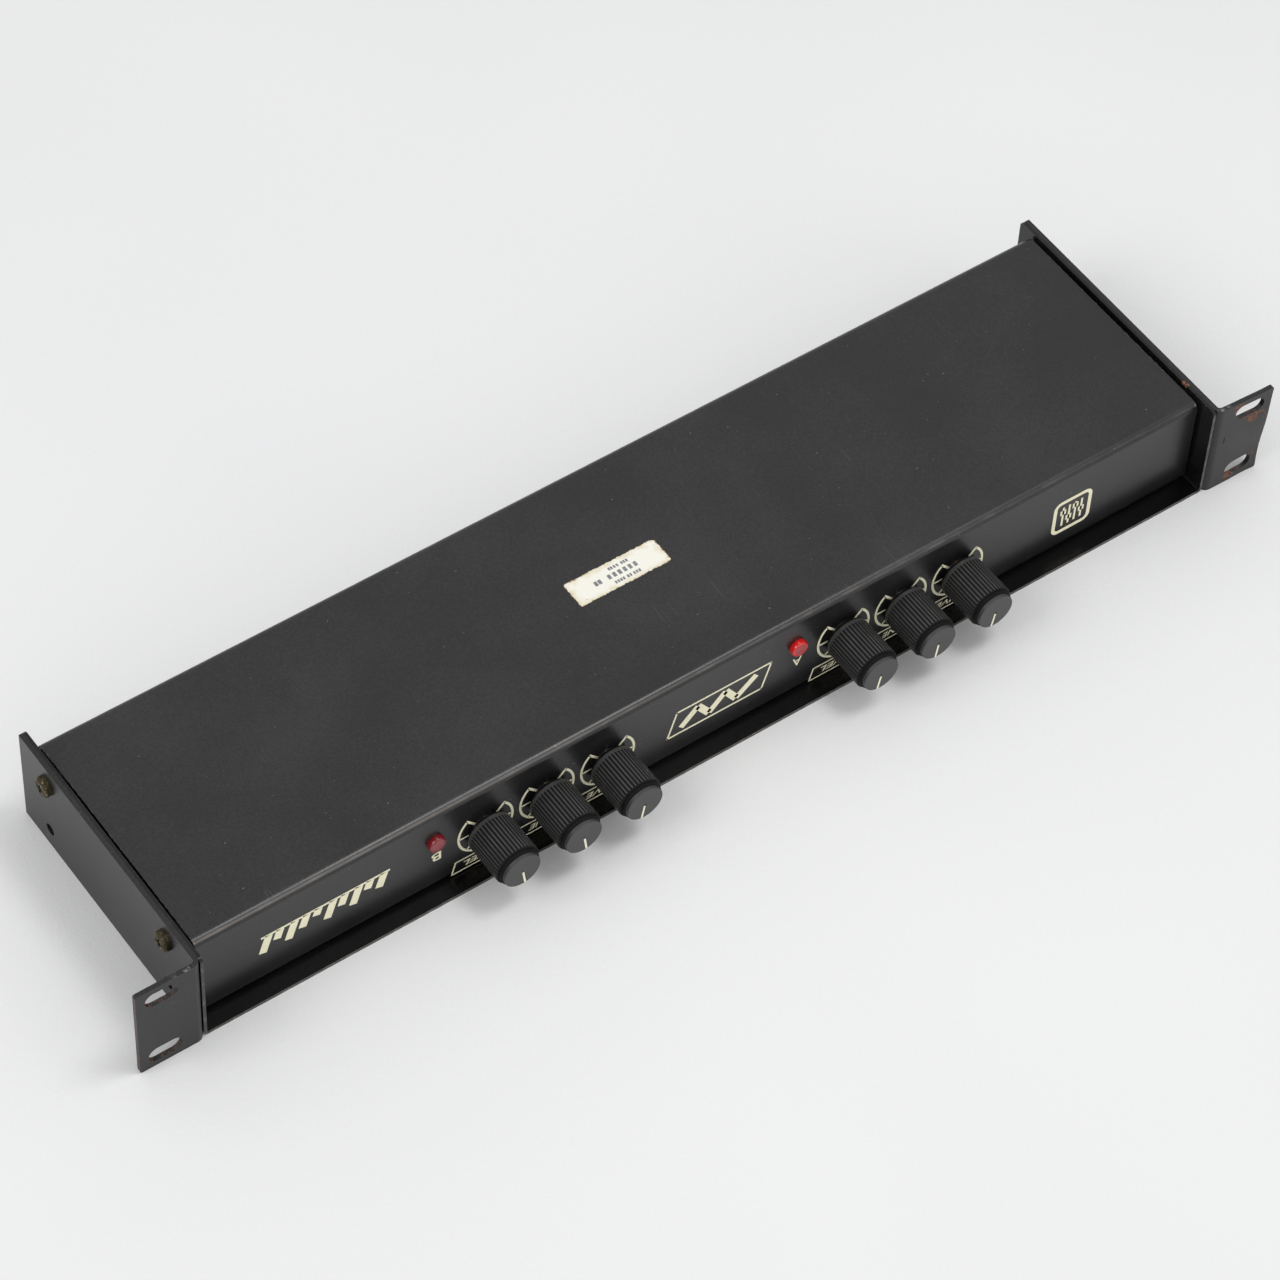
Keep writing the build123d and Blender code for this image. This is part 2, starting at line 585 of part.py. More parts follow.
def make_fuse_holder():
    """A round panel holder with its cap, slotted for a screwdriver, and two rear lugs."""
    holder = rod_y(6.0, FUSE_X, INLET_Z, REAR_INNER - 24, REAR_OUTER)
    holder += rod_y(7.6, FUSE_X, INLET_Z, REAR_OUTER, REAR_OUTER + 1.6)
    cap = rod_y(6.6, FUSE_X, INLET_Z, REAR_OUTER + 1.6, REAR_OUTER + 5.0)
    holder += fillet(cap.edges().sort_by(Axis.Y)[-1], 0.8)
    holder -= Pos(FUSE_X, REAR_OUTER + 5.0, INLET_Z) * Box(8.0, 2.0, 1.2)
    for lug_z in (INLET_Z - 3, INLET_Z + 3):
        y_range = (REAR_INNER - 29, REAR_INNER - 24)
        holder += block((FUSE_X - 1.5, FUSE_X + 1.5), y_range, (lug_z - 0.4, lug_z + 0.4))
    return holder


def make_mains_lead(pin_x, pin_z, turn_y, end_x):
    """A wire from an inlet pin, forward, across and up to the main board."""
    start_y = INLET_BACK - 5
    points = [(pin_x, start_y, pin_z), (pin_x, turn_y, pin_z), (end_x, turn_y, pin_z), (end_x, turn_y, MAIN_BOARD_LOW)]
    path = FilletPolyline(*points, radius=4)
    section = Plane((pin_x, start_y, pin_z), z_dir=(0, -1, 0)) * Circle(0.95)
    return sweep(section, path=path)


def make_serial_label():
    label = RectangleRounded(LABEL_SIZE[0], LABEL_SIZE[1], 0.8)
    sheet = extrude(label, amount=LABEL_THICKNESS)
    return Pos(LABEL_CENTRE[0], LABEL_CENTRE[1], TRAY_TOP) * sheet


# ---- build and write ----------------------------------------------------------------------------
def write_sheet_metal():
    write(make_top_cover(), "top_cover")
    for name, wall in make_tray_walls().items():
        write(wall, name)
    write_group(make_end_tabs(), "end_tabs")
    for side, name in ((-1, "left"), (1, "right")):
        write(make_rack_ear(side), f"rack_ear_{name}")
    fastened = [(y, side) for y in SIDE_HOLE_Y for side in (-1, 1)]
    write_group([make_ear_screw(y, side) for y, side in fastened], "ear_screws")
    write_group([make_rivet_nut(y, side) for y, side in fastened], "rivet_nuts")
    write(make_serial_label(), "serial_label")


def write_controls():
    for channel in GROUP_CENTRE:
        axes = knob_positions(channel)
        for control, x, rest in zip(CONTROLS, axes, REST_TURN[channel]):
            write(turned(make_knob(x), x, rest), f"knob_{control}_{channel}")
            write(turned(make_knob_cap(x), x, rest), f"knob_cap_{control}_{channel}")
            write(make_pot_shaft(x), f"pot_shaft_{control}_{channel}")
        write_group([make_pot_body(x) for x in axes], f"pot_bodies_{channel}")
        write(make_led_lens(GROUP_CENTRE[channel] + LED_OFFSET_X), f"led_lens_{channel}")
        write(make_pot_board(channel), f"pot_board_{channel}")
    write_group([make_led(centre + LED_OFFSET_X) for centre in GROUP_CENTRE.values()], "leds")
    all_axes = knob_positions("b") + knob_positions("a")
    write_group([make_pot_nut(x) for x in all_axes], "pot_nuts")
    write_group([make_pot_washer(x) for x in all_axes], "pot_washers")
    write_group([make_ribbon_cable(channel) for channel in GROUP_CENTRE], "ribbon_cables")


def write_main_board():
    write(make_main_board(), "main_board")
    posts = [(x, y) for x in STANDOFF_X for y in STANDOFF_Y]
    write_group([make_standoff(x, y) for x, y in posts], "board_standoffs")
    write_group([make_board_screw(x, y) for x, y in posts], "board_screws")
    write_group([make_op_amp(x, 50) for x in (-150, -120, -90, -60)], "op_amps")
    cans = [make_can_capacitor(x, 68, 2.5, 11) for x in range(-160, -59, 20)]
    cans += [make_can_capacitor(46, y, 6.25, 20) for y in (42, 60)]
    write_group(cans, "electrolytic_capacitors")
    write_group([make_film_capacitor(x, 42) for x in range(-165, -49, 12)], "film_capacitors")
    write_group([make_resistor(x, 60) for x in range(-166, -49, 8)], "resistors")
    write_group([make_regulator(18, y) for y in (38, 56)], "voltage_regulators")
    write_group([make_relay(-16, y) for y in (44, 62)], "bypass_relays")
    write(make_transformer_core(), "transformer_core")
    write(make_transformer_coil(), "transformer_coil")


def write_rear_panel():
    for name, x in JACKS.items():
        write(make_jack(x), f"jack_{name}")
    write_group([make_jack_nut(x) for x in JACKS.values()], "jack_nuts")
    write(make_mains_inlet(), "mains_inlet")
    write_group(inlet_pin_places(), "inlet_pins")
    screws = [make_inlet_screw(side) for side in (-1, 1)]
    nuts = [make_inlet_nut(side) for side in (-1, 1)]
    write_group(screws + nuts, "inlet_fasteners")
    write(make_fuse_holder(), "fuse_holder")
    leads = [
        make_mains_lead(INLET_X - 7, INLET_Z - 2, 74, 109),
        make_mains_lead(INLET_X, INLET_Z + 2.5, 70, 109),
        make_mains_lead(INLET_X + 7, INLET_Z - 2, 66, 109),
    ]
    write_group(leads, "mains_leads")


os.makedirs("parts", exist_ok=True)
write_sheet_metal()
write_controls()
write_main_board()
write_rear_panel()
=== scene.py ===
# %% [markdown]
# # A rack effects unit, lying on its cover
# The folded metal, the knobs and the sockets come as exact solids, each a mesh with its place already
# in its points. This lesson gives every one of them a finish, and adds the thin things that solids
# leave out: printed ink, a worn paper label, indicator lenses and an ear that was bent in use.
# Everything is in metres, and a length in millimetres is multiplied by MM.

# %% Load the solids
import json
import math
import random

import bmesh
import bpy
from mathutils import Matrix, Quaternion, Vector


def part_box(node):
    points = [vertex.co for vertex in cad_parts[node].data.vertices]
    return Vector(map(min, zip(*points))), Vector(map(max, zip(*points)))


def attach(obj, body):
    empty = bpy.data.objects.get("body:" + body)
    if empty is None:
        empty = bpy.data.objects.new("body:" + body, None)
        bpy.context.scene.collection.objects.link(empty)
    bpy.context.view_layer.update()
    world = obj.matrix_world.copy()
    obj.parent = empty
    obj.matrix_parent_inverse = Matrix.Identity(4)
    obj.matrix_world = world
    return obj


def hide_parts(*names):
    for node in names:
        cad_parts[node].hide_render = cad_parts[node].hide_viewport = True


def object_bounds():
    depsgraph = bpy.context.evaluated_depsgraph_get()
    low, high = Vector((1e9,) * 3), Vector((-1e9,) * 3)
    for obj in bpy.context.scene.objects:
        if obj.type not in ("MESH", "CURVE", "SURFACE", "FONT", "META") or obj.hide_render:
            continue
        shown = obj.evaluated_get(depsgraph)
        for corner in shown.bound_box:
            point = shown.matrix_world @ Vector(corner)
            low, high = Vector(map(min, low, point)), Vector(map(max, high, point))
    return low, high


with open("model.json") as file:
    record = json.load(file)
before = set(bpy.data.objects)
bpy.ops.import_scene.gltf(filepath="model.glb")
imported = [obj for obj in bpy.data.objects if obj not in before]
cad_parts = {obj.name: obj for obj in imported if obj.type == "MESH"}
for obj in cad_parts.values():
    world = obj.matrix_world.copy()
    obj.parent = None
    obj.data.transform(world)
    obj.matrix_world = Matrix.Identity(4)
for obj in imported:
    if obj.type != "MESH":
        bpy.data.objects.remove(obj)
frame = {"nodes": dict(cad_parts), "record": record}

MM = 0.001
cad_low, cad_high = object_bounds()
print("solids:", len(frame["nodes"]), "size in mm:", [round(v / MM, 1) for v in cad_high - cad_low])

# %% [markdown]
# ## Where the solids are
# Ink, paper and wear have to lie exactly on the solids. Their places could be typed in, but then they
# would stay behind when a solid is changed. So they are read from the solids' own boxes, and given in
# millimetres.

# %% Helpers that find a solid
def box_mm(node):
    """The lowest and highest corner of a solid, in millimetres to a hundredth."""
    return [[round(value / MM, 2) for value in corner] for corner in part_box(node)]


def centre_of(node):
    """The middle of a solid's box, to a tenth of a millimetre, so that its facets don't count."""
    return [round((low + high) / 2 / MM, 1) for low, high in zip(*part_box(node))]


def add_object(name, data):
    """Put a camera, a lamp, a mesh or a text in the scene."""
    made = bpy.data.objects.new(name, data)
    bpy.context.scene.collection.objects.link(made)
    return made


print("the label's middle is at", centre_of("serial_label"))

# %% [markdown]
# ## The camera
# A long lens from well back keeps the long parallel edges of a rack unit nearly parallel. A camera
# could be aimed with a constraint, but a place, a point to look at and a small roll say the same thing
# in three lines, and they hold still when the scene is reused.

# %% Set up the camera
CAMERA_PLACE = Vector((-0.6637, -0.7953, 1.3464))
CAMERA_AIM = Vector((-0.0077, 0.0444, 0.0))
CAMERA_ROLL = math.radians(3.5)
CAMERA_LENS = 137.49

camera_data = bpy.data.cameras.new("camera")
camera_data.lens = CAMERA_LENS
camera = add_object("camera", camera_data)
camera.location = CAMERA_PLACE
camera.rotation_mode = "QUATERNION"
level = (CAMERA_AIM - CAMERA_PLACE).to_track_quat("-Z", "Y")
camera.rotation_quaternion = level @ Quaternion((0, 0, 1), CAMERA_ROLL)
bpy.context.scene.camera = camera
print("camera is", round((CAMERA_AIM - CAMERA_PLACE).length, 2), "m from the unit")

# %% [markdown]
# ## Soft studio light
# The unit lies on pale cloth in a room with white walls. Black paint shows almost nothing of its own
# colour, so what it reflects is what gives it shape. An even pale world stands for the walls. A large
# lamp on the left gives the soft shadows, a smaller one overhead draws the bright line along the front
# bend, because a bend mirrors a strip of everything above it, and a weak one in front lifts the panel.

# %% Make the world and the lamps
WORLD_COLOUR = (0.985, 0.99, 1.0, 1.0)
WORLD_STRENGTH = 0.75


def add_lamp(name, place, size, watts):
    """A square area lamp that faces the middle of the unit."""
    data = bpy.data.lights.new(name, "AREA")
    data.shape = "SQUARE"
    data.size = size
    data.energy = watts
    lamp = add_object(name, data)
    lamp.location = place
    lamp.rotation_mode = "QUATERNION"
    lamp.rotation_quaternion = (-Vector(place)).to_track_quat("-Z", "Y")


world = bpy.data.worlds.new("pale_room")
world.use_nodes = True
world.node_tree.nodes["Background"].inputs["Color"].default_value = WORLD_COLOUR
world.node_tree.nodes["Background"].inputs["Strength"].default_value = WORLD_STRENGTH
bpy.context.scene.world = world
bpy.context.scene.view_settings.view_transform = "Standard"
add_lamp("left_lamp", (-1.35, 0.15, 1.35), 0.9, 8.2)
add_lamp("overhead_lamp", (0.36, -0.3, 1.35), 0.42, 5.5)
add_lamp("front_lamp", (0.7, -1.9, 0.75), 1.3, 1.9)

# %% [markdown]
# ## Writing a finish as sums
# A finish is a web of nodes, and drawing one in the editor is quick, but a script full of node calls
# is hard to read. So one small class holds a node's output and knows what +, -, * and the rest mean
# on it: each adds a Math node. Any other node comes from its one method, called node.

# %% A value that is still inside the nodes
class Wire:
    """One output in a material's nodes, which can be reckoned with like a number."""

    def __init__(self, tree, socket=None):
        self.tree = tree
        self.socket = socket

    def node(self, kind, settings=None, inputs=None, output=0):
        """Add a node: its settings first, then the values or wires of its sockets."""
        made = self.tree.nodes.new("ShaderNode" + kind)
        for name, value in (settings or {}).items():
            setattr(made, name, value)
        for place, value in (inputs or {}).items():
            if isinstance(value, Wire):
                self.tree.links.new(value.socket, made.inputs[place])
            else:
                made.inputs[place].default_value = value
        return Wire(self.tree, made.outputs[output] if made.outputs else None)

    def maths(self, operation, first, second=0.0):
        return self.node("Math", {"operation": operation}, {0: first, 1: second})

    def __add__(self, other):
        return self.maths("ADD", self, other)

    def __sub__(self, other):
        return self.maths("SUBTRACT", self, other)

    def __rsub__(self, other):
        return self.maths("SUBTRACT", other, self)

    def __mul__(self, other):
        return self.maths("MULTIPLY", self, other)

    def __truediv__(self, other):
        return self.maths("DIVIDE", self, other)

    def __pow__(self, other):
        return self.maths("POWER", self, other)

    def __abs__(self):
        return self.maths("ABSOLUTE", self)

    __radd__ = __add__
    __rmul__ = __mul__


print("a wire can be added, taken away, multiplied, divided and raised")

# %% [markdown]
# ## Words for patterns
# Most finishes use the same few ideas: a cloudy noise of a given grain size, a soft step from nought
# to one, a soft band round a value, and a colour that is part one thing and part another. Patterns
# read Object coordinates, which are metres here, so a grain of 0.5 mm is 0.5 mm on every piece.

# %% Helpers for patterns
def tone(red, green, blue):
    """A colour as it looks on a screen, 0 to 255, turned into the light a shader works in."""
    parts = []
    for value in (red, green, blue):
        share = value / 255
        parts.append(share / 12.92 if share <= 0.04045 else ((share + 0.055) / 1.055) ** 2.4)
    return (*parts, 1.0)


def cloud(place, grain, detail=2.0, stretch=(1.0, 1.0, 1.0), turn=0.0):
    """Noise from 0 to 1 whose blobs are about grain millimetres wide."""
    settings = {"vector_type": "POINT"}
    inputs = {"Vector": place, "Rotation": (0.0, 0.0, turn), "Scale": stretch}
    moved = place.node("Mapping", settings, inputs)
    return place.node("TexNoise", {}, {"Vector": moved, "Scale": 1 / (grain * MM), "Detail": detail})


def step(value, low, high):
    """0 below low, 1 above high, and a smooth climb between them."""
    inputs = {0: value, 1: low, 2: high, 3: 0.0, 4: 1.0}
    return value.node("MapRange", {"interpolation_type": "SMOOTHSTEP"}, inputs)


def band(value, centre, half, soft):
    """1 within half of centre, in millimetres, and 0 once soft further out."""
    return 1 - step(abs(value - centre), half, half + soft)


def most(first, second):
    """The larger of two values: where either mask is on."""
    return first.maths("MAXIMUM", first, second)


def least(first, second):
    """The smaller of two values: where both masks are on."""
    return first.maths("MINIMUM", first, second)


def mix(under, over, share):
    """The colour over laid on the colour under, as far as share says."""
    return share.node("Mix", {"data_type": "RGBA"}, {0: share, 6: under, 7: over}, output=2)


def relief(height, depth, strength):
    """A bump whose full height is depth millimetres."""
    return height.node("Bump", {}, {"Strength": strength, "Distance": depth * MM, "Height": height})


def start_finish(name):
    """An empty material, and the place of each of its points on the piece."""
    material = bpy.data.materials.new(name)
    material.use_nodes = True
    material.node_tree.nodes.clear()
    return material, Wire(material.node_tree).node("TexCoord", output="Object")


def millimetres(place):
    """The x, y and z of a place, each a wire of its own."""
    return [place.node("SeparateXYZ", {}, {0: place}, output=axis) / MM for axis in range(3)]


def finish_surface(place, **sockets):
    """Join everything to a Principled shader. A socket's name has _ where it has a space."""
    inputs = {name.replace("_", " "): value for name, value in sockets.items()}
    shader = place.node("BsdfPrincipled", {}, inputs)
    place.node("OutputMaterial", {}, {"Surface": shader})


print("helpers for patterns are ready")

# %% [markdown]
# ## Floor
# The floor is a plain sheet of off-white cloth. A single flat face would do, and a faint unevenness
# of tone keeps it from looking like paper.

# %% Make the floor
FLOOR_HALF = 5000.0
FLOOR_GAP = 0.05

material, place = start_finish("pale_cloth")
weave = cloud(place, 1.2)
drift = cloud(place, 260.0)
finish_surface(
    place,
    Base_Color=mix(tone(222, 222, 223), tone(230, 230, 229), drift),
    Roughness=0.9,
    Normal=relief(weave + drift * 3, 0.25, 0.4),
)
floor_mesh = bpy.data.meshes.new("floor")
sheet = bmesh.new()
bmesh.ops.create_grid(sheet, x_segments=1, y_segments=1, size=FLOOR_HALF * MM)
bmesh.ops.translate(sheet, verts=sheet.verts, vec=(0, 0, cad_low.z - FLOOR_GAP * MM))
sheet.to_mesh(floor_mesh)
sheet.free()
floor_mesh.materials.append(material)
add_object("floor", floor_mesh)
print("floor at", round(floor_mesh.vertices[0].co.z / MM, 2), "mm")

# %% [markdown]
# ## Black paint on folded sheet
# The chassis is sprayed a satin black. Close up it has a fine pebble, wide smudges that change its
# tone and its shine a little, some dust and hairline scratches, and on the sharpest edges it has
# rubbed away. All black parts share one recipe. What differs is where they are worn or get a painted
# highlight, where they are rusted, and where they are made darkest, which on the cover is painted
# shade, so those masks are handed in.

# %% The paint recipe
PAINT = tone(15, 15, 16)
PAINT_DUSTY = tone(34, 33, 33)
PAINT_DARKEST = tone(7, 7, 8)
SCUFF = tone(96, 94, 90)
BARE_STEEL = tone(150, 144, 138)
RUST = tone(130, 86, 64)
RUST_DARK = tone(62, 44, 36)


def scratches(place, turn, grain, rarity):
    """Hairlines that run one way: a stretched noise, kept only where it crosses its middle."""
    line = cloud(place, grain, 0.0, (1.0, 0.035, 1.0), turn)
    where = step(cloud(place, 24.0, 1.0), rarity, rarity + 0.06)
    return (1 - step(abs(line - 0.5), 0.002, 0.008)) * where


def paint_finish(place, wear_and_highlight, rusty=None, darkening=None, roughness=0.31, mirror=0.56):
    """Satin black paint with three masks. Bare steel goes where the wear mask is 1: real wear, and on
    the tray's bend and the hood's edge also a painted highlight. Rust goes where rusty is 1. The darkest
    paint
    goes where the darkening mask is 1: painted shade under the cover's hood, and a dark nick on the ear.

    Roughness is the sound paint's own, and mirror is how strongly it reflects.
    """
    pebble = cloud(place, 0.7, 1.0)
    smudge = cloud(place, 46.0, 4.0)
    specks = step(cloud(place, 1.6, 1.0), 0.77, 0.81)
    lines = most(scratches(place, 0.7, 5.0, 0.67), scratches(place, -0.5, 7.0, 0.68))
    grain = (pebble - 0.5) * 2.4
    colour = mix(PAINT, PAINT_DUSTY, (smudge - 0.5) * 2.4 + 0.35 + grain)
    colour = mix(colour, SCUFF, most(specks * 0.8, lines * 0.22))
    # The darkest paint laid on here is painted shade under the cover's hood, and on the ear a dark nick.
    if darkening is not None:
        colour = mix(colour, PAINT_DARKEST, darkening)
    # Bare steel colour: real wear, and on the tray's bend and the hood's edge also a painted highlight.
    colour = mix(colour, BARE_STEEL, wear_and_highlight)
    dullness = roughness + (smudge - 0.5) * 0.22 - wear_and_highlight * 0.08
    polished = least(wear_and_highlight * 2.0, 1.0)
    height = pebble * 0.6 * (1 - polished)
    if rusty is not None:
        stain = mix(RUST_DARK, RUST, step(cloud(place, 0.9, 5.0), 0.36, 0.62))
        colour = mix(colour, stain, rusty)
        dullness = dullness + rusty * 0.4
        height = height - rusty * 2.0
    finish_surface(
        place,
        Base_Color=colour,
        Roughness=dullness,
        Metallic=wear_and_highlight * 0.7,
        Specular_IOR_Level=mirror,
        Normal=relief(height, 0.024, 0.6),
    )


print("sound paint reflects", round(PAINT[0] * 100, 2), "% of the light")

# %% [markdown]
# ## Where the tray is rubbed, and its painted highlight
# The tray is folded from one sheet. Along its front bend a band of bare-steel colour is a painted
# highlight, brightest at the left end and fading to the right, and rubbed patches of real wear lie on
# it. The band could be painted by hand, but a sum finds the bend by itself: from the start of a bend
# to its end the distance in and the distance down change places, so their difference is nought half
# way round.

# %% Tray paint
tray_low, tray_high = box_mm("front_panel")
TRAY_HALF = tray_high[0]
FRONT_FACE = tray_low[1]
PLATE_FACE = tray_high[2]
REAR_FACE = box_mm("rear_panel")[1][1]
BEND_RADIUS = 3.0
BRIGHT_END, DIM_END = -215.0, 190.0


def bend_crest(inwards, downwards, centre, flat, soft):
    """1 half way round a bend, fading to 0 towards both its ends."""
    on_bend = 1 - step(inwards + downwards, BEND_RADIUS * 0.7, BEND_RADIUS)
    return band(inwards - downwards, centre, flat, soft) * on_bend


material, place = start_finish("tray_paint")
x, y, z = millimetres(place)
crest = bend_crest(y - FRONT_FACE, PLATE_FACE - z, 0.1, 0.1, 1.1)
rear_crest = bend_crest(REAR_FACE - y, PLATE_FACE - z, 0.0, 0.4, 1.0)
patches = step(cloud(place, 9.0, 5.0), 0.44, 0.70)
# Painted highlight: the crest of the front bend gets bare-steel colour, strongest towards the left end;
# the patches are real rubbed wear.
leftwards = 1 - step(x, BRIGHT_END, DIM_END)
rubbed_and_highlight = crest * (0.06 + leftwards * 0.34 + patches * 0.16)
corner = step(abs(x), TRAY_HALF - 1.4, TRAY_HALF) * crest
chips = step(cloud(place, 3.0, 3.0), 0.5, 0.65)
sheet_edge = step(abs(x), TRAY_HALF - 0.15, TRAY_HALF - 0.05) * chips
front_wear_and_highlight = most(rubbed_and_highlight, corner * 0.8)
worn_rest = most(sheet_edge * 0.5, rear_crest * patches * 0.3)
paint_finish(place, most(front_wear_and_highlight, worn_rest))
tray_paint = material
print("tray paint rubbed on a bend of", BEND_RADIUS, "mm")

# %% [markdown]
# ## Where the cover is rubbed, with painted highlight and painted shade
# The cover's front edge is a hood that sticks out past the panel, and both corners of its sheet edge
# are painted bright: a painted highlight along the edge, with chips of real wear in it. One flange has
# lost a chip of paint near the front, down to rust. Under the hood the paint is made darkest, as painted
# shade. Each is a mask made of distances from the cover's faces.

# %% Cover paint
cover_low, cover_high = box_mm("top_cover")
COVER_FRONT = cover_low[1]
COVER_OUTSIDE = cover_low[2]
FLANGE_RIM = cover_high[2]
FLANGE_X = 214.0
SHEET = 1.2
CHIP_Y = 18.0

material, place = start_finish("cover_paint")
x, y, z = millimetres(place)
chipped = step(cloud(place, 2.2, 4.0), 0.50, 0.62)
inner_corner = band(z, COVER_OUTSIDE + SHEET, 0.12, 0.15)
outer_corner = band(z, COVER_OUTSIDE + 0.2, 0.12, 0.15)
corners = most(inner_corner, outer_corner) * (1 - step(abs(x), FLANGE_X - 1.0, FLANGE_X))
sheet_front = band(y, COVER_FRONT, 0.05, 0.15)
# Painted highlight: both corners of the hood's sheet edge get bare-steel colour, and the chipped spots
# are real wear.
hood_edge_highlight_and_wear = sheet_front * most(corners * (0.55 + chipped * 0.45), chipped * 0.06)
flange_edge = sheet_front * step(abs(x), FLANGE_X - 0.2, FLANGE_X + 0.2) * (0.10 + chipped * 0.2)
by_rim = step(z, FLANGE_RIM - 1.6, FLANGE_RIM - 0.8)
chip_place = band(y, CHIP_Y, 0.8, 2.6) * step(x, FLANGE_X - 1.0, FLANGE_X) * by_rim
rust_chip = step(chip_place * (cloud(place, 0.9, 4.0) + 0.36), 0.72, 0.80)
between_flanges = 1 - step(abs(x), FLANGE_X - 0.6, FLANGE_X)
before_panel = 1 - step(y, FRONT_FACE + 0.6, FRONT_FACE + 1.2)
# Painted shade: under the hood, between the flanges and before the panel, the paint is made darkest.
painted_hood_shade = step(z, COVER_OUTSIDE + 0.6, COVER_OUTSIDE + 1.1) * before_panel * between_flanges
paint_finish(place, most(hood_edge_highlight_and_wear, flange_edge), rust_chip, painted_hood_shade * 0.9, 0.26, 0.34)
cover_paint = material
print("cover paint chipped at y", CHIP_Y, "mm")

# %% [markdown]
# ## Ears: worn edges, rusty slots
# Rack screws and rails chip the ears most. Rust shows as blots beside the slots of one ear, and as a
# brown line round the slots and along the outer edge. A short dark nick is beside the bend. Each blot
# is an ellipse whose edge is broken up by noise, listed by its centre and size.

# %% Ear paint
ear_high = box_mm("rack_ear_right")[1]
EAR_EDGE, EAR_TOP = ear_high[0], ear_high[2]
EAR_SHEET = 1.8
SLOT_X = 231.3
SLOT_Z = 15.875
SLOT_HALF_LENGTH = 3.1
SLOT_RADIUS = 3.4
RUST_BLOTS = [
    (226.4, 19.6, 2.1, 1.1),
    (225.2, 17.8, 0.9, 1.3),
    (234.0, 11.0, 3.8, 0.8),
    (233.4, 9.0, 2.0, 1.5),
    (239.2, 7.4, 0.5, 1.3),
    (226.6, -19.4, 2.3, 1.1),
    (237.6, -13.2, 0.4, 0.7),
]
NICK = (221.2, 4.0, 0.32, 1.7)


def ellipse(x, z, centre_x, centre_z, wide, tall, ragged):
    """1 inside an ellipse, with an edge that ragged pushes in and out."""
    across = (x - centre_x) / wide
    along = (z - centre_z) / tall
    return 1 - step((across * across + along * along) * 0.7 + ragged, 0.85, 1.05)


def slot_rim(x, z, sign, width):
    """1 in a thin ring round the slot at that height."""
    beyond = most(abs(abs(x) - SLOT_X) - SLOT_HALF_LENGTH, 0.0)
    off = z - sign * SLOT_Z
    distance = (beyond * beyond + off * off) ** 0.5
    return band(distance, SLOT_RADIUS, width, 0.25)


material, place = start_finish("ear_paint")
x, y, z = millimetres(place)
ragged = (cloud(place, 2.6, 5.0) - 0.5) * 1.9
flaked = step(cloud(place, 1.6, 4.0), 0.46, 0.60)
blots = None
for blot in RUST_BLOTS:
    spot = ellipse(x, z, *blot, ragged)
    blots = spot if blots is None else most(blots, spot)
blots = blots * step(x, 219.0, 221.0) * (1 - step(y, EAR_SHEET - 0.2, EAR_SHEET))
rims = most(slot_rim(x, z, 1, 0.05), slot_rim(x, z, -1, 0.05))
outer_edge = step(abs(x), EAR_EDGE - 0.16, EAR_EDGE - 0.04)
nick = ellipse(x, z, *NICK, ragged * 0.2)
rusty_ear = most(blots * 0.9, most(rims * 0.4, outer_edge * 0.7) * flaked)
by_bend = (1 - step(y, EAR_SHEET - 1.2, EAR_SHEET + 0.6)) * (1 - step(abs(x), 220.0, 229.0))
upper_edge = by_bend * step(z, EAR_TOP - 0.4, EAR_TOP - 0.1)
worn_ear = upper_edge * step(cloud(place, 2.6, 3.0), 0.52, 0.66) * 0.8
paint_finish(place, worn_ear, rusty_ear, nick, 0.40 + nick * 0.4, 0.5)
ear_paint = material
print("rust blots on the ear:", len(RUST_BLOTS))

# %% [markdown]
# ## Plated and bare metals
# Screws, nuts, washers and brackets are steel with a thin plating that dulls with age. One recipe
# takes the plating's colour, how far it has tarnished, and the colour of the tarnish.

# %% Metals
def metal_finish(name, colour, tarnish, amount, roughness=0.32, grain=1.6):
    """A plated metal: the larger the amount, the more of it has tarnished."""
    material, place = start_finish(name)
    bloom = step(cloud(place, grain, 5.0), 0.62 - amount * 0.35, 0.78 - amount * 0.35)
    drawn = cloud(place, 0.35, 2.0)
    finish_surface(
        place,
        Base_Color=mix(colour, tarnish, bloom),
        Metallic=0.95 - bloom * 0.45,
        Roughness=roughness + bloom * 0.3 + (drawn - 0.5) * 0.12,
        Normal=relief(drawn + bloom, 0.02, 0.5),
    )
    return material


screw_steel = metal_finish("oxidised_screw", tone(118, 108, 82), tone(60, 52, 34), 0.75, 0.34, 1.2)
zinc_steel = metal_finish("zinc_plate", tone(168, 168, 160), tone(110, 106, 92), 0.35)
shaft_metal = metal_finish("shaft_alloy", tone(190, 190, 188), tone(150, 148, 142), 0.2, 0.28)
pot_metal = metal_finish("control_case", tone(172, 174, 172), tone(120, 118, 108), 0.3)
jack_nickel = metal_finish("jack_nickel", tone(205, 203, 196), tone(140, 134, 118), 0.3, 0.22)
core_steel = metal_finish("core_laminations", tone(92, 90, 88), tone(84, 60, 44), 0.5, 0.45)
pin_brass = metal_finish("contact_brass", tone(206, 178, 110), tone(150, 118, 62), 0.3, 0.26)
print("metals ready")

# %% [markdown]
# ## Moulded plastics and small parts
# Knobs, jack bodies, capacitor sleeves and relays are moulded or wrapped plastics. They differ in
# colour, shine and texture depth, so they are one recipe with those handed in.

# %% Plastics
def plastic_finish(name, colour, paler, roughness, pebble_depth=0.01, grain=0.4):
    """A moulded plastic, paler where it is handled, with a fine pebble in its surface."""
    material, place = start_finish(name)
    handled = cloud(place, 7.0, 4.0)
    pebble = cloud(place, grain, 2.0)
    finish_surface(
        place,
        Base_Color=mix(colour, paler, handled * 0.7 + step(cloud(place, 0.9), 0.72, 0.8) * 0.3),
        Roughness=roughness + (handled - 0.5) * 0.16,
        Normal=relief(pebble, pebble_depth, 0.6),
    )
    return material


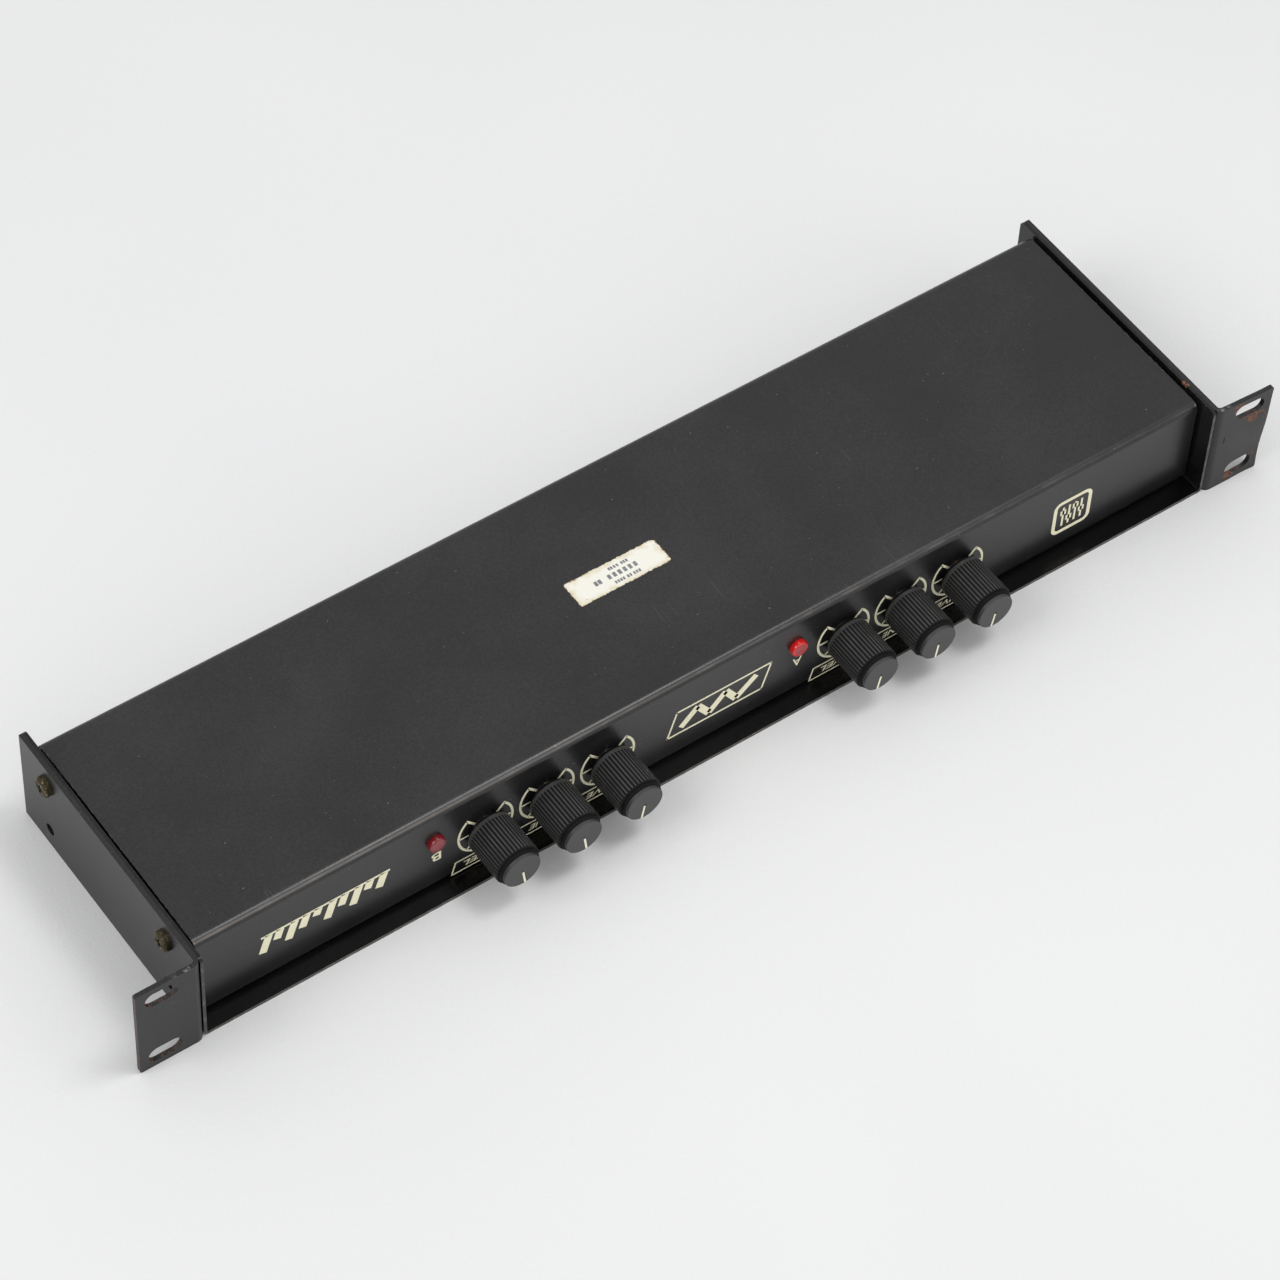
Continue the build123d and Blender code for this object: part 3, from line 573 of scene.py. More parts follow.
cap_plastic = plastic_finish("knob_cap", tone(50, 50, 52), tone(60, 60, 61), 0.40, 0.02, 0.25)
jack_black = plastic_finish("jack_plastic", tone(20, 20, 21), tone(32, 32, 32), 0.33)
inlet_black = plastic_finish("inlet_plastic", tone(22, 22, 23), tone(35, 35, 35), 0.4, 0.02)
chip_black = plastic_finish("chip_case", tone(26, 26, 28), tone(44, 44, 46), 0.5, 0.02)
board_green = plastic_finish("circuit_board", tone(26, 74, 44), tone(36, 92, 58), 0.3, 0.02, 0.8)
can_blue = plastic_finish("capacitor_sleeve", tone(22, 42, 104), tone(34, 58, 128), 0.3)
film_red = plastic_finish("film_capacitor", tone(138, 34, 28), tone(160, 52, 40), 0.28)
resistor_tan = plastic_finish("resistor_body", tone(190, 160, 118), tone(205, 178, 138), 0.42)
regulator = plastic_finish("regulator_case", tone(30, 30, 32), tone(50, 50, 52), 0.45)
relay_case = plastic_finish("relay_case", tone(206, 146, 60), tone(220, 170, 92), 0.25)
coil_tape = plastic_finish("coil_tape", tone(196, 172, 88), tone(214, 194, 120), 0.35)
ribbon_grey = plastic_finish("ribbon_cable", tone(150, 150, 152), tone(170, 170, 170), 0.45, 0.05, 1.27)
wire_pvc = plastic_finish("wire_pvc", tone(70, 62, 50), tone(96, 84, 66), 0.45)
print("plastics ready")

# %% [markdown]
# ## The knobs' plastic
# A fluted knob is near black in its grooves, which is painted shade, and lighter on its ridges, which is
# a painted highlight; the ridges are also smoother, polished by fingers. How far a point is from the
# knob's axis says which it is on, so the finish measures that distance from the nearest of the six axes.

# %% Knob plastic
CHANNELS = ("b", "a")
CONTROLS = ("level", "tone", "drive")
AXES = {
    channel: [centre_of(f"knob_{control}_{channel}")[0] for control in CONTROLS]
    for channel in CHANNELS
}
AXIS_Z = centre_of("knob_tone_a")[2]
RIDGE_RADIUS = 8.75

material, place = start_finish("knob_plastic")
x, y, z = millimetres(place)
nearest = None
for axis_x in AXES["b"] + AXES["a"]:
    off = abs(x - axis_x)
    nearest = off if nearest is None else least(nearest, off)
off_z = z - AXIS_Z
from_axis = (nearest * nearest + off_z * off_z) ** 0.5
# Painted highlight on the ridges and painted shade in the grooves: the ridge tops get a lighter colour
# and the grooves near black.
highlit_ridge = step(from_axis, RIDGE_RADIUS - 0.08, RIDGE_RADIUS - 0.01)
shaded_groove = 1 - step(from_axis, RIDGE_RADIUS - 0.45, RIDGE_RADIUS - 0.2)
handled = cloud(place, 6.0, 4.0)
finish_surface(
    place,
    Base_Color=mix(mix(tone(8, 8, 8), tone(66, 66, 65), highlit_ridge * (0.4 + handled)), tone(2, 2, 2), shaded_groove),
    Roughness=0.58 - highlit_ridge * 0.32 + shaded_groove * 0.2 + (handled - 0.5) * 0.12,
    Specular_IOR_Level=0.26,
    Normal=relief(cloud(place, 0.35, 2.0), 0.012, 0.6),
)
knob_plastic = material
print("knob axes:", AXES)

# %% [markdown]
# ## Ink and paper
# The panel is screen-printed in one cream ink, a little uneven at its edges. The label on the plate
# is white paper that has yellowed, browned and torn at its rim, so its stain depends on how near the
# rim a point is.

# %% Ink, label paper and printing
label_low, label_high = box_mm("serial_label")
LABEL_CENTRE = centre_of("serial_label")[:2]
LABEL_SIZE = [round(label_high[axis] - label_low[axis], 2) for axis in (0, 1)]

material, place = start_finish("cream_ink")
thin = step(cloud(place, 0.5, 3.0), 0.60, 0.72)
cream = mix(tone(252, 248, 218), tone(238, 232, 198), cloud(place, 9.0, 2.0))
finish_surface(
    place,
    Base_Color=mix(cream, tone(206, 198, 164), thin * 0.4),
    Roughness=0.48 + thin * 0.1,
    Normal=relief(cloud(place, 0.3, 2.0), 0.01, 0.4),
)
cream_ink = material

material, place = start_finish("label_paper")
x, y, z = millimetres(place)
from_end = LABEL_SIZE[0] / 2 - abs(x - LABEL_CENTRE[0])
from_side = LABEL_SIZE[1] / 2 - abs(y - LABEL_CENTRE[1])
rim = least(from_end, from_side)
eaten = cloud(place, 1.3, 5.0)
brown = 1 - step(rim + (eaten - 0.5) * 2.4, 0.05, 0.5)
yellow = 1 - step(rim + (cloud(place, 3.5, 3.0) - 0.5) * 6.0, 0.0, 2.6)
specks = step(cloud(place, 0.8, 1.0), 0.74, 0.80) * (1 - step(rim, 1.2, 3.5))
aged = mix(tone(232, 230, 219), tone(206, 190, 146), yellow * 0.55)
aged = mix(aged, tone(118, 86, 44), most(brown, specks) * 0.9)
finish_surface(
    place,
    Base_Color=aged,
    Roughness=0.55 + brown * 0.2,
    Normal=relief(cloud(place, 0.6, 3.0) - brown * 0.6, 0.02, 0.5),
)
label_paper = material

material, place = start_finish("label_printing")
faded = step(cloud(place, 0.35, 3.0), 0.55, 0.68)
finish_surface(
    place,
    Base_Color=mix(tone(92, 92, 96), tone(190, 190, 186), faded * 0.7 + cloud(place, 5.0) * 0.3),
    Roughness=0.6,
    Normal=relief(faded, 0.005, 0.3),
)
label_printing = material
print("the label is", LABEL_SIZE, "mm")

# %% [markdown]
# ## Red lenses
# Each indicator shines through a moulded red lens. It could be clear glass over a lamp, but aged ones
# look solid, so a red plastic with a clear coat and a little light of its own comes closer. One
# channel is brighter, and its rim glows.

# %% Lens plastic
def lens_finish(name, rim, face_colour, channel, glow):
    """A red lens of one colour at its rim and another over its face, with a clear coat."""
    material, place = start_finish(name)
    x, y, z = millimetres(place)
    axis_x, _, axis_z = centre_of(f"led_lens_{channel}")
    off_x = x - axis_x
    off_z = z - axis_z
    from_axis = (off_x * off_x + off_z * off_z) ** 0.5
    face = 1 - step(from_axis, 2.2, 2.7)
    mottle = cloud(place, 1.1, 3.0)
    colour = mix(rim, face_colour, face * (0.45 + mottle * 0.5))
    finish_surface(
        place,
        Base_Color=colour,
        Roughness=0.16 + face * 0.22,
        Coat_Weight=0.6,
        Coat_Roughness=0.1,
        Emission_Color=mix(tone(90, 20, 20), tone(255, 30, 20), step(from_axis, 2.3, 2.9)),
        Emission_Strength=glow,
        Normal=relief(mottle, 0.03, 0.4),
    )
    return material


lens_dull = lens_finish("lens_dull", tone(112, 8, 18), tone(146, 30, 38), "b", 0.02)
lens_lit = lens_finish("lens_lit", tone(196, 10, 12), tone(140, 34, 38), "a", 0.08)
led_red = plastic_finish("led_body", tone(150, 20, 20), tone(180, 40, 36), 0.2)
print("lenses ready")

# %% [markdown]
# ## Dressing the solids
# The record says which material slot each solid takes, so one table from slot to finish dresses them
# all. Only the material slots are touched: the meshes stay as they came.

# %% Assign the finishes
SLOT_FINISHES = {
    "cover_paint": cover_paint,
    "tray_paint": tray_paint,
    "ear_paint": ear_paint,
    "screw_steel": screw_steel,
    "zinc_steel": zinc_steel,
    "knob_plastic": knob_plastic,
    "cap_plastic": cap_plastic,
    "shaft_metal": shaft_metal,
    "pot_metal": pot_metal,
    "lens_red": lens_dull,
    "led_red": led_red,
    "board_green": board_green,
    "chip_black": chip_black,
    "can_blue": can_blue,
    "film_red": film_red,
    "resistor_tan": resistor_tan,
    "regulator": regulator,
    "relay_case": relay_case,
    "core_steel": core_steel,
    "coil_tape": coil_tape,
    "ribbon_grey": ribbon_grey,
    "jack_black": jack_black,
    "jack_nut": jack_nickel,
    "inlet_black": inlet_black,
    "pin_brass": pin_brass,
    "wire_pvc": wire_pvc,
    "label_paper": label_paper,
}
for part in frame["record"]["subparts"]:
    solid = frame["nodes"][part["node"]]
    for slot in solid.material_slots:
        slot.material = SLOT_FINISHES[part["material_slot"]]

# %% [markdown]
# ## From a bmesh to a piece
# New pieces are modelled in a bmesh, which is a mesh on the workbench. When it is done its doubles
# are merged, its normals turned outwards, edges sharper than 30 degrees are marked sharp so that the
# rest can shade smoothly, and it is told which body it rides on.

# %% Put a finished bmesh in the scene
SHARP = math.radians(30)


def add_piece(name, bench, material, body="root"):
    """Finish a bmesh as a piece that rides on a body, and return the piece."""
    bmesh.ops.remove_doubles(bench, verts=bench.verts, dist=0.001 * MM)
    bmesh.ops.recalc_face_normals(bench, faces=bench.faces)
    for face in bench.faces:
        face.smooth = True
    for edge in bench.edges:
        edge.smooth = edge.calc_face_angle(math.pi) < SHARP
    mesh = bpy.data.meshes.new(name)
    bench.to_mesh(mesh)
    bench.free()
    mesh.materials.append(material)
    piece = add_object(name, mesh)
    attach(piece, body)
    print(name, "has", len(mesh.polygons), "faces")
    return piece


# %% [markdown]
# ## Printed strokes
# Ink is a film, but a film still has a thickness, and giving it one lets it catch light and be
# exported. A straight stroke is a cube squashed to size. An arc is the same section spun about the
# dial's axis. Both stand out from the panel by INK and go into it by SINK, so that no gap shows.

# %% Stroke helpers
INK = 0.08
SINK = 0.02
ARC_STEP = 6.0


def stroke(bench, start, end, width, surface=FRONT_FACE):
    """A straight ink stroke between two points given as x and z on the front panel."""
    first = Vector((start[0], 0, start[1]))
    last = Vector((end[0], 0, end[1]))
    run = last - first
    angle = math.atan2(run.z, run.x)
    middle = (first + last) / 2
    middle.y = surface - (INK - SINK) / 2
    shape = Matrix.Diagonal((run.length, INK + SINK, width, 1.0))
    turn = Matrix.Rotation(-angle, 4, "Y")
    matrix = Matrix.Scale(MM, 4) @ Matrix.Translation(middle) @ turn @ shape
    bmesh.ops.create_cube(bench, size=1.0, matrix=matrix)


def arc(bench, centre, radius, width, first, last):
    """An ink arc about a centre, from one angle to another, counted from +X towards +Z."""
    middle = Vector((centre[0], FRONT_FACE - (INK - SINK) / 2, centre[1]))
    turn = Matrix.Rotation(-math.radians(first), 4, "Y")
    reach = Matrix.Translation((radius, 0, 0))
    section = Matrix.Diagonal((width, INK + SINK, 1.0, 1.0))
    matrix = Matrix.Scale(MM, 4) @ Matrix.Translation(middle) @ turn @ reach @ section
    made = bmesh.ops.create_grid(bench, x_segments=1, y_segments=1, size=0.5, matrix=matrix)
    verts = made["verts"]
    faces = list({face for vert in verts for face in vert.link_faces})
    edges = list({edge for face in faces for edge in face.edges})
    span = math.radians(last - first)
    bmesh.ops.spin(
        bench, geom=verts + edges + faces, cent=middle * MM, axis=(0, -1, 0),
        angle=span, steps=max(2, round(abs(last - first) / ARC_STEP)), use_duplicate=False,
    )


print("ink stands out by", INK, "mm")

# %% [markdown]
# ## Dials
# Round each control the panel has a ring, open at one side, with a line running in from each end and
# short ticks. It could be one flat drawing, but strokes and arcs in a loop give each dial the same
# shape, about its own knob's axis. The unit lies upside down, so the open side is on top.

# %% Print the dials
RING_RADIUS = 11.1
RING_WIDTH = 0.95
OPEN_FROM, OPEN_TO = 47.0, 133.0
END_LINE = 6.3
TICK_IN, TICK_OUT = 6.8, 10.9
TICK_ANGLES = (180.0, 225.0, 270.0, 315.0, 0.0)
TICK_WIDTH = 0.6


def at_angle(centre, radius, degrees):
    """The x and z of a point on a circle, counted from +X towards +Z."""
    angle = math.radians(degrees)
    return (centre[0] + radius * math.cos(angle), centre[1] + radius * math.sin(angle))


for channel in CHANNELS:
    bench = bmesh.new()
    for axis_x in AXES[channel]:
        centre = (axis_x, AXIS_Z)
        arc(bench, centre, RING_RADIUS, RING_WIDTH, OPEN_TO, 360 + OPEN_FROM)
        for degrees in (OPEN_FROM, OPEN_TO):
            outer = at_angle(centre, RING_RADIUS + RING_WIDTH / 2, degrees)
            stroke(bench, outer, at_angle(centre, END_LINE, degrees), RING_WIDTH)
        for degrees in TICK_ANGLES:
            inner = at_angle(centre, TICK_IN, degrees)
            stroke(bench, inner, at_angle(centre, TICK_OUT, degrees), TICK_WIDTH)
    add_piece(f"dial_rings_{channel}", bench, cream_ink)

# %% [markdown]
# ## Name boxes and lettering
# Beyond each group's dials a long narrow box holds the names of its controls, and a letter beside the
# lens names the channel. Text starts as a curve. It is made a mesh, measured, squeezed to the width and
# height that the printing has, and only then laid on the panel, turned half round. The words are the
# plain names of the controls.

# %% Print the words
BOLDER = 0.006


def letters(bench, words, centre, width, height, slant=0.0):
    """Words on the front panel, upside down, centred on a point and fitted to a size."""
    curve = bpy.data.curves.new("words", "FONT")
    curve.body = words
    curve.shear = slant
    curve.resolution_u = 3
    curve.offset = BOLDER
    curve.extrude = 0.5
    text = add_object("words", curve)
    bpy.context.view_layer.update()
    mesh = bpy.data.meshes.new_from_object(text)
    bpy.data.objects.remove(text)
    corners = [v.co for v in mesh.vertices]
    low = Vector(min(c[i] for c in corners) for i in range(3))
    high = Vector(max(c[i] for c in corners) for i in range(3))
    size = high - low
    fit = Matrix.Diagonal((width / size.x, height / size.y, (INK + SINK) / size.z, 1.0))
    middle = Matrix.Translation(-(low + high) / 2)
    upside_down = Matrix(((-1, 0, 0, 0), (0, 0, -1, 0), (0, -1, 0, 0), (0, 0, 0, 1)))
    spot = Matrix.Translation((centre[0], FRONT_FACE - (INK - SINK) / 2, centre[1]))
    mesh.transform(Matrix.Scale(MM, 4) @ spot @ upside_down @ fit @ middle)
    bench.from_mesh(mesh)
    bpy.data.meshes.remove(mesh)


BOX_HALF = 39.2
BOX_LOW, BOX_HIGH = -19.6, -13.6
BOX_LINE = 0.55
BOX_LEAN = 1.6
OVERLAP = 0.2
NAME_SHIFT = -0.6
NAME_HEIGHT = 2.7
NAME_PITCH = 3.3
NAME_SLANT = 0.3
LETTER_OFFSET, LETTER_Z = -45.6, -3.7
LETTER_WIDTH, LETTER_HEIGHT = 3.9, 4.3

for channel in CHANNELS:
    group_x = AXES[channel][1]
    left, right = group_x - BOX_HALF, group_x + BOX_HALF
    low, high = BOX_LOW - OVERLAP, BOX_HIGH + OVERLAP
    bench = bmesh.new()
    stroke(bench, (left, BOX_LOW), (right - BOX_LEAN, BOX_LOW), BOX_LINE)
    stroke(bench, (left + BOX_LEAN, BOX_HIGH), (right, BOX_HIGH), BOX_LINE)
    stroke(bench, (left, low), (left + BOX_LEAN, high), BOX_LINE)
    stroke(bench, (right - BOX_LEAN, low), (right, high), BOX_LINE)
    add_piece(f"name_box_{channel}", bench, cream_ink)
    bench = bmesh.new()
    for axis_x, control in zip(AXES[channel], CONTROLS):
        centre = (axis_x + NAME_SHIFT, (BOX_LOW + BOX_HIGH) / 2)
        letters(bench, control.upper(), centre, NAME_PITCH * len(control), NAME_HEIGHT, NAME_SLANT)
    add_piece(f"control_names_{channel}", bench, cream_ink)
    bench = bmesh.new()
    letters(bench, channel.upper(), (group_x + LETTER_OFFSET, LETTER_Z), LETTER_WIDTH, LETTER_HEIGHT)
    add_piece(f"channel_letter_{channel}", bench, cream_ink)

# %% [markdown]
# ## A level meter for a mark
# The panel has three printed marks, and generic ones of our own stand in their places. The first is a
# row of slanted bars like a level meter. A drawn outline could be filled in, but all three marks need
# no more than the strokes and arcs that are there already.

# %% Print the level meter
METER_LEFT, METER_RIGHT = -188.0, -136.6
METER_LOW, METER_HIGH = -5.2, 3.3
METER_SHARES = (1.0, 0.55, 1.0, 0.7, 0.4, 1.0, 0.62, 1.0, 0.48, 0.8)
METER_BAR, METER_BASE = 3.2, 0.9
SLANT = 0.32

bench = bmesh.new()
pitch = (METER_RIGHT - METER_LEFT) / len(METER_SHARES)
for number, share in enumerate(METER_SHARES):
    foot_x = METER_LEFT + (number + 0.35) * pitch
    tip = METER_HIGH - (METER_HIGH - METER_LOW) * share
    rise = METER_HIGH - tip
    shift = SLANT * rise / 2
    stroke(bench, (foot_x + shift, METER_HIGH), (foot_x - shift, tip), METER_BAR)
base_z = METER_HIGH + OVERLAP
stroke(bench, (METER_LEFT, base_z), (METER_RIGHT, base_z), METER_BASE)
add_piece("level_meter_mark", bench, cream_ink)

# %% [markdown]
# ## A wave for a mark
# The middle mark is a zigzag wave in a slanted frame. The frame's strokes run on a little past its
# corners, so that they close, and the wave goes by turns to its lowest and its highest line.

# %% Print the wave
FRAME_LEFT, FRAME_RIGHT = -21.2, 22.9
FRAME_LOW, FRAME_HIGH = -8.3, 4.1
FRAME_LINE = 0.75
LEAN = 3.6
WAVE_LOW, WAVE_HIGH = -5.6, 1.5
WAVE_TURNS = (-15.5, -8.5, -3.5, 3.4, 8.2, 16.6)
WAVE_LINE = 2.9

bench = bmesh.new()
corners = [
    (FRAME_LEFT, FRAME_LOW),
    (FRAME_RIGHT - LEAN, FRAME_LOW),
    (FRAME_RIGHT, FRAME_HIGH),
    (FRAME_LEFT + LEAN, FRAME_HIGH),
]
for first, second in zip(corners, corners[1:] + corners[:1]):
    run = Vector(second) - Vector(first)
    over = run.normalized() * 0.35
    stroke(bench, Vector(first) - over, Vector(second) + over, FRAME_LINE)
turns = [(turn_x, (WAVE_LOW, WAVE_HIGH)[number % 2]) for number, turn_x in enumerate(WAVE_TURNS)]
for first, second in zip(turns, turns[1:]):
    stroke(bench, first, second, WAVE_LINE)
add_piece("wave_mark", bench, cream_ink)

# %% [markdown]
# ## Sliders for a mark
# The last mark is a square frame with round corners round four sliders, each a thin track with a thick
# grip at a height of its own. The corners are arcs, and straight strokes join them.

# %% Print the sliders
BADGE_X, BADGE_Z = 158.0, -3.2
BADGE_HALF = 8.0
BADGE_LINE = 1.6
CORNER = 2.6
SLIDERS = ((-4.2, 2.2), (-1.4, -1.6), (1.4, 3.0), (4.2, -0.4))
TRACK_HALF, TRACK_LINE = 5.0, 0.9
GRIP_HALF, GRIP_HEIGHT = 1.3, 2.4

bench = bmesh.new()
for side_x, side_z, first in ((1, 1, 0), (-1, 1, 90), (-1, -1, 180), (1, -1, 270)):
    corner_x = BADGE_X + side_x * (BADGE_HALF - CORNER)
    corner_z = BADGE_Z + side_z * (BADGE_HALF - CORNER)
    arc(bench, (corner_x, corner_z), CORNER, BADGE_LINE, first, first + 90)
reach = BADGE_HALF - CORNER
for side in (-1, 1):
    edge_z = BADGE_Z + side * BADGE_HALF
    edge_x = BADGE_X + side * BADGE_HALF
    stroke(bench, (BADGE_X - reach, edge_z), (BADGE_X + reach, edge_z), BADGE_LINE)
    stroke(bench, (edge_x, BADGE_Z - reach), (edge_x, BADGE_Z + reach), BADGE_LINE)
for offset, height in SLIDERS:
    slider_x = BADGE_X + offset
    stroke(bench, (slider_x, BADGE_Z - TRACK_HALF), (slider_x, BADGE_Z + TRACK_HALF), TRACK_LINE)
    grip_z = BADGE_Z + height
    stroke(bench, (slider_x - GRIP_HALF, grip_z), (slider_x + GRIP_HALF, grip_z), GRIP_HEIGHT)
add_piece("sliders_mark", bench, cream_ink)

# %% [markdown]
# ## Pointers
# Each knob's face has a groove filled with cream paint, from a little off its centre to its edge. The
# filling turns with the knob, so it rides on that control's body. Each knob was left at a small
# angle, clockwise from straight down as the unit lies.

# %% Fill the pointer grooves
RESTS = {"b": (-9.0, -9.0, 9.5), "a": (10.5, 7.5, 10.5)}
KNOB_FACE = box_mm("knob_cap_tone_a")[0][1]
GROOVE_DEPTH = 0.1
EDGE_CUT = 0.02
POINTER_WIDTH = 0.8
POINTER_START, POINTER_END = 1.0, 7.15

for channel in CHANNELS:
    for axis_x, control, rest in zip(AXES[channel], CONTROLS, RESTS[channel]):
        bench = bmesh.new()
        centre = (axis_x, AXIS_Z)
        start = at_angle(centre, POINTER_START, -90.0 - rest)
        end = at_angle(centre, POINTER_END, -90.0 - rest)
        stroke(bench, start, end, POINTER_WIDTH, KNOB_FACE + GROOVE_DEPTH)
        rims = [edge for edge in bench.edges if edge.calc_length() < POINTER_WIDTH * 1.1 * MM]
        bmesh.ops.bevel(
            bench, geom=rims, offset=EDGE_CUT * MM, segments=1, profile=0.5,
            affect="EDGES", material=-1,
        )
        add_piece(f"pointer_{control}_{channel}", bench, cream_ink, f"{control}_control_{channel}")

# %% [markdown]
# ## The paper label
# The label is a rectangle with rounded corners whose rim has been nibbled. A flat solid with brown
# paint round its rim would look printed, so the outline itself is uneven. It starts as one face, its
# corners are bevelled, its edges cut into short lengths, each new point is pulled in a little by a
# seeded random amount, and last the face is extruded by the paper's thickness.

# %% Cut and nibble the label
PAPER = 0.11
CORNER_CUT = 1.0
EDGE_CUTS = 70
BITE_X, BITE_Y = 0.5, 0.9
random.seed(7)

bench = bmesh.new()
size = Matrix.Diagonal((LABEL_SIZE[0] * MM, LABEL_SIZE[1] * MM, 1.0, 1.0))
bmesh.ops.create_grid(bench, x_segments=1, y_segments=1, size=0.5, matrix=size)
bmesh.ops.bevel(
    bench, geom=bench.verts[:], offset=CORNER_CUT * MM, segments=4, profile=0.5,
    affect="VERTICES", material=-1,
)
long_edges = [edge for edge in bench.edges if edge.calc_length() > 5 * MM]
bmesh.ops.subdivide_edges(bench, edges=long_edges, cuts=EDGE_CUTS)
pull = 0.0
for vert in sorted(bench.verts, key=lambda v: math.atan2(v.co.y, v.co.x)):
    pull = 0.6 * pull + 0.4 * random.random() ** 3
    vert.co.x -= math.copysign(pull * BITE_X * MM, vert.co.x)
    vert.co.y -= math.copysign(pull * BITE_Y * MM, vert.co.y)
made = bmesh.ops.extrude_face_region(bench, geom=bench.faces[:])
raised = [item for item in made["geom"] if isinstance(item, bmesh.types.BMVert)]
bmesh.ops.translate(bench, verts=raised, vec=(0, 0, PAPER * MM))
spot = Vector((LABEL_CENTRE[0], LABEL_CENTRE[1], PLATE_FACE)) * MM
bmesh.ops.translate(bench, verts=bench.verts, vec=spot)
label = add_piece("paper_label", bench, label_paper)
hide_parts("serial_label")

# %% [markdown]
# ## The label's printing
# Two small lines of type and one of large figures are on the label. Lettering isn't copied, so each
# sign is a plain grey bar, listed by row: the row's place, its height, where each bar stands, and how
# wide the bars are.

# %% Print the label's bars
BARS_SHIFT = 4.0
BAR_THICKNESS = 0.02
BARS = [
    (2.9, 1.3, (-5.6, -4.6, -3.4, -2.2, -0.3, 0.7, 1.8), 0.8),
    (-0.1, 2.1, (-13.2, -11.6, -7.5, -5.3, -3.1, -0.9, 1.3, 3.5), 1.3),
    (-3.3, 1.3, (-6.8, -5.7, -4.6, -3.5, -1.7, -0.6, 1.0, 2.1, 3.2), 0.8),
]
bench = bmesh.new()
for row_y, height, places, width in BARS:
    for bar_x in places:
        across = LABEL_CENTRE[0] + bar_x + BARS_SHIFT
        above = PLATE_FACE + PAPER + BAR_THICKNESS / 2
        middle = Vector((across, LABEL_CENTRE[1] + row_y, above))
        shape = Matrix.Diagonal((width, height, BAR_THICKNESS, 1.0))
        matrix = Matrix.Scale(MM, 4) @ Matrix.Translation(middle) @ shape
        bmesh.ops.create_cube(bench, size=1.0, matrix=matrix)
add_piece("label_bars", bench, label_printing)

# %% [markdown]
# ## Indicator lenses
# The lens is a small turned shape: a barrel, a rounded flange and a shallow dished face with a raised
# middle. A turned shape is a half section spun round its axis, so the section is drawn as a chain of
# points and swept a full turn, with its ends on the axis.

# %% Turn the lenses
LENS_STEPS = 48
LENS_SECTION = [
    (0.0, 9.6), (2.9, 9.6), (2.9, 8.4), (3.38, 8.4), (3.4, 8.2), (3.4, 6.9), (3.25, 6.45),
    (2.95, 6.2), (2.7, 6.18), (2.55, 6.32), (2.4, 6.3), (1.6, 6.18), (0.8, 6.12), (0.0, 6.1),
]
LENS_FINISH = {"b": lens_dull, "a": lens_lit}

for channel in CHANNELS:
    bench = bmesh.new()
    axis_x, _, axis_z = centre_of(f"led_lens_{channel}")
    axis = Vector((axis_x, 0.0, axis_z)) * MM
    chain = [bench.verts.new(axis + Vector((radius, depth, 0.0)) * MM) for radius, depth in LENS_SECTION]
    edges = [bench.edges.new(pair) for pair in zip(chain, chain[1:])]
    bmesh.ops.spin(
        bench, geom=chain + edges, cent=axis, axis=(0, 1, 0), angle=2 * math.pi, steps=LENS_STEPS,
        use_merge=True, use_duplicate=False,
    )
    lens = add_piece(f"indicator_lens_{channel}", bench, LENS_FINISH[channel])
    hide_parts(f"led_lens_{channel}")

# %% [markdown]
# ## The bent ear
# One ear has been knocked: its outer edge leans forward and the sheet ripples. The solid ear is flat,
# so a copy is merged, its flat sides are made whole faces again, and cuts are made across it in both
# directions. Then its points can be pushed by a smooth amount that grows from the bend outwards.

# %% Bend a copy of the ear
EAR_BEND_X = 218.5
LEAN_TOP, LEAN_LOW = 1.15, 0.25
FIRST_CUT, LAST_CUT, CUT_STEP = 220, 240, 2
CUT_HALF_HEIGHT = 20

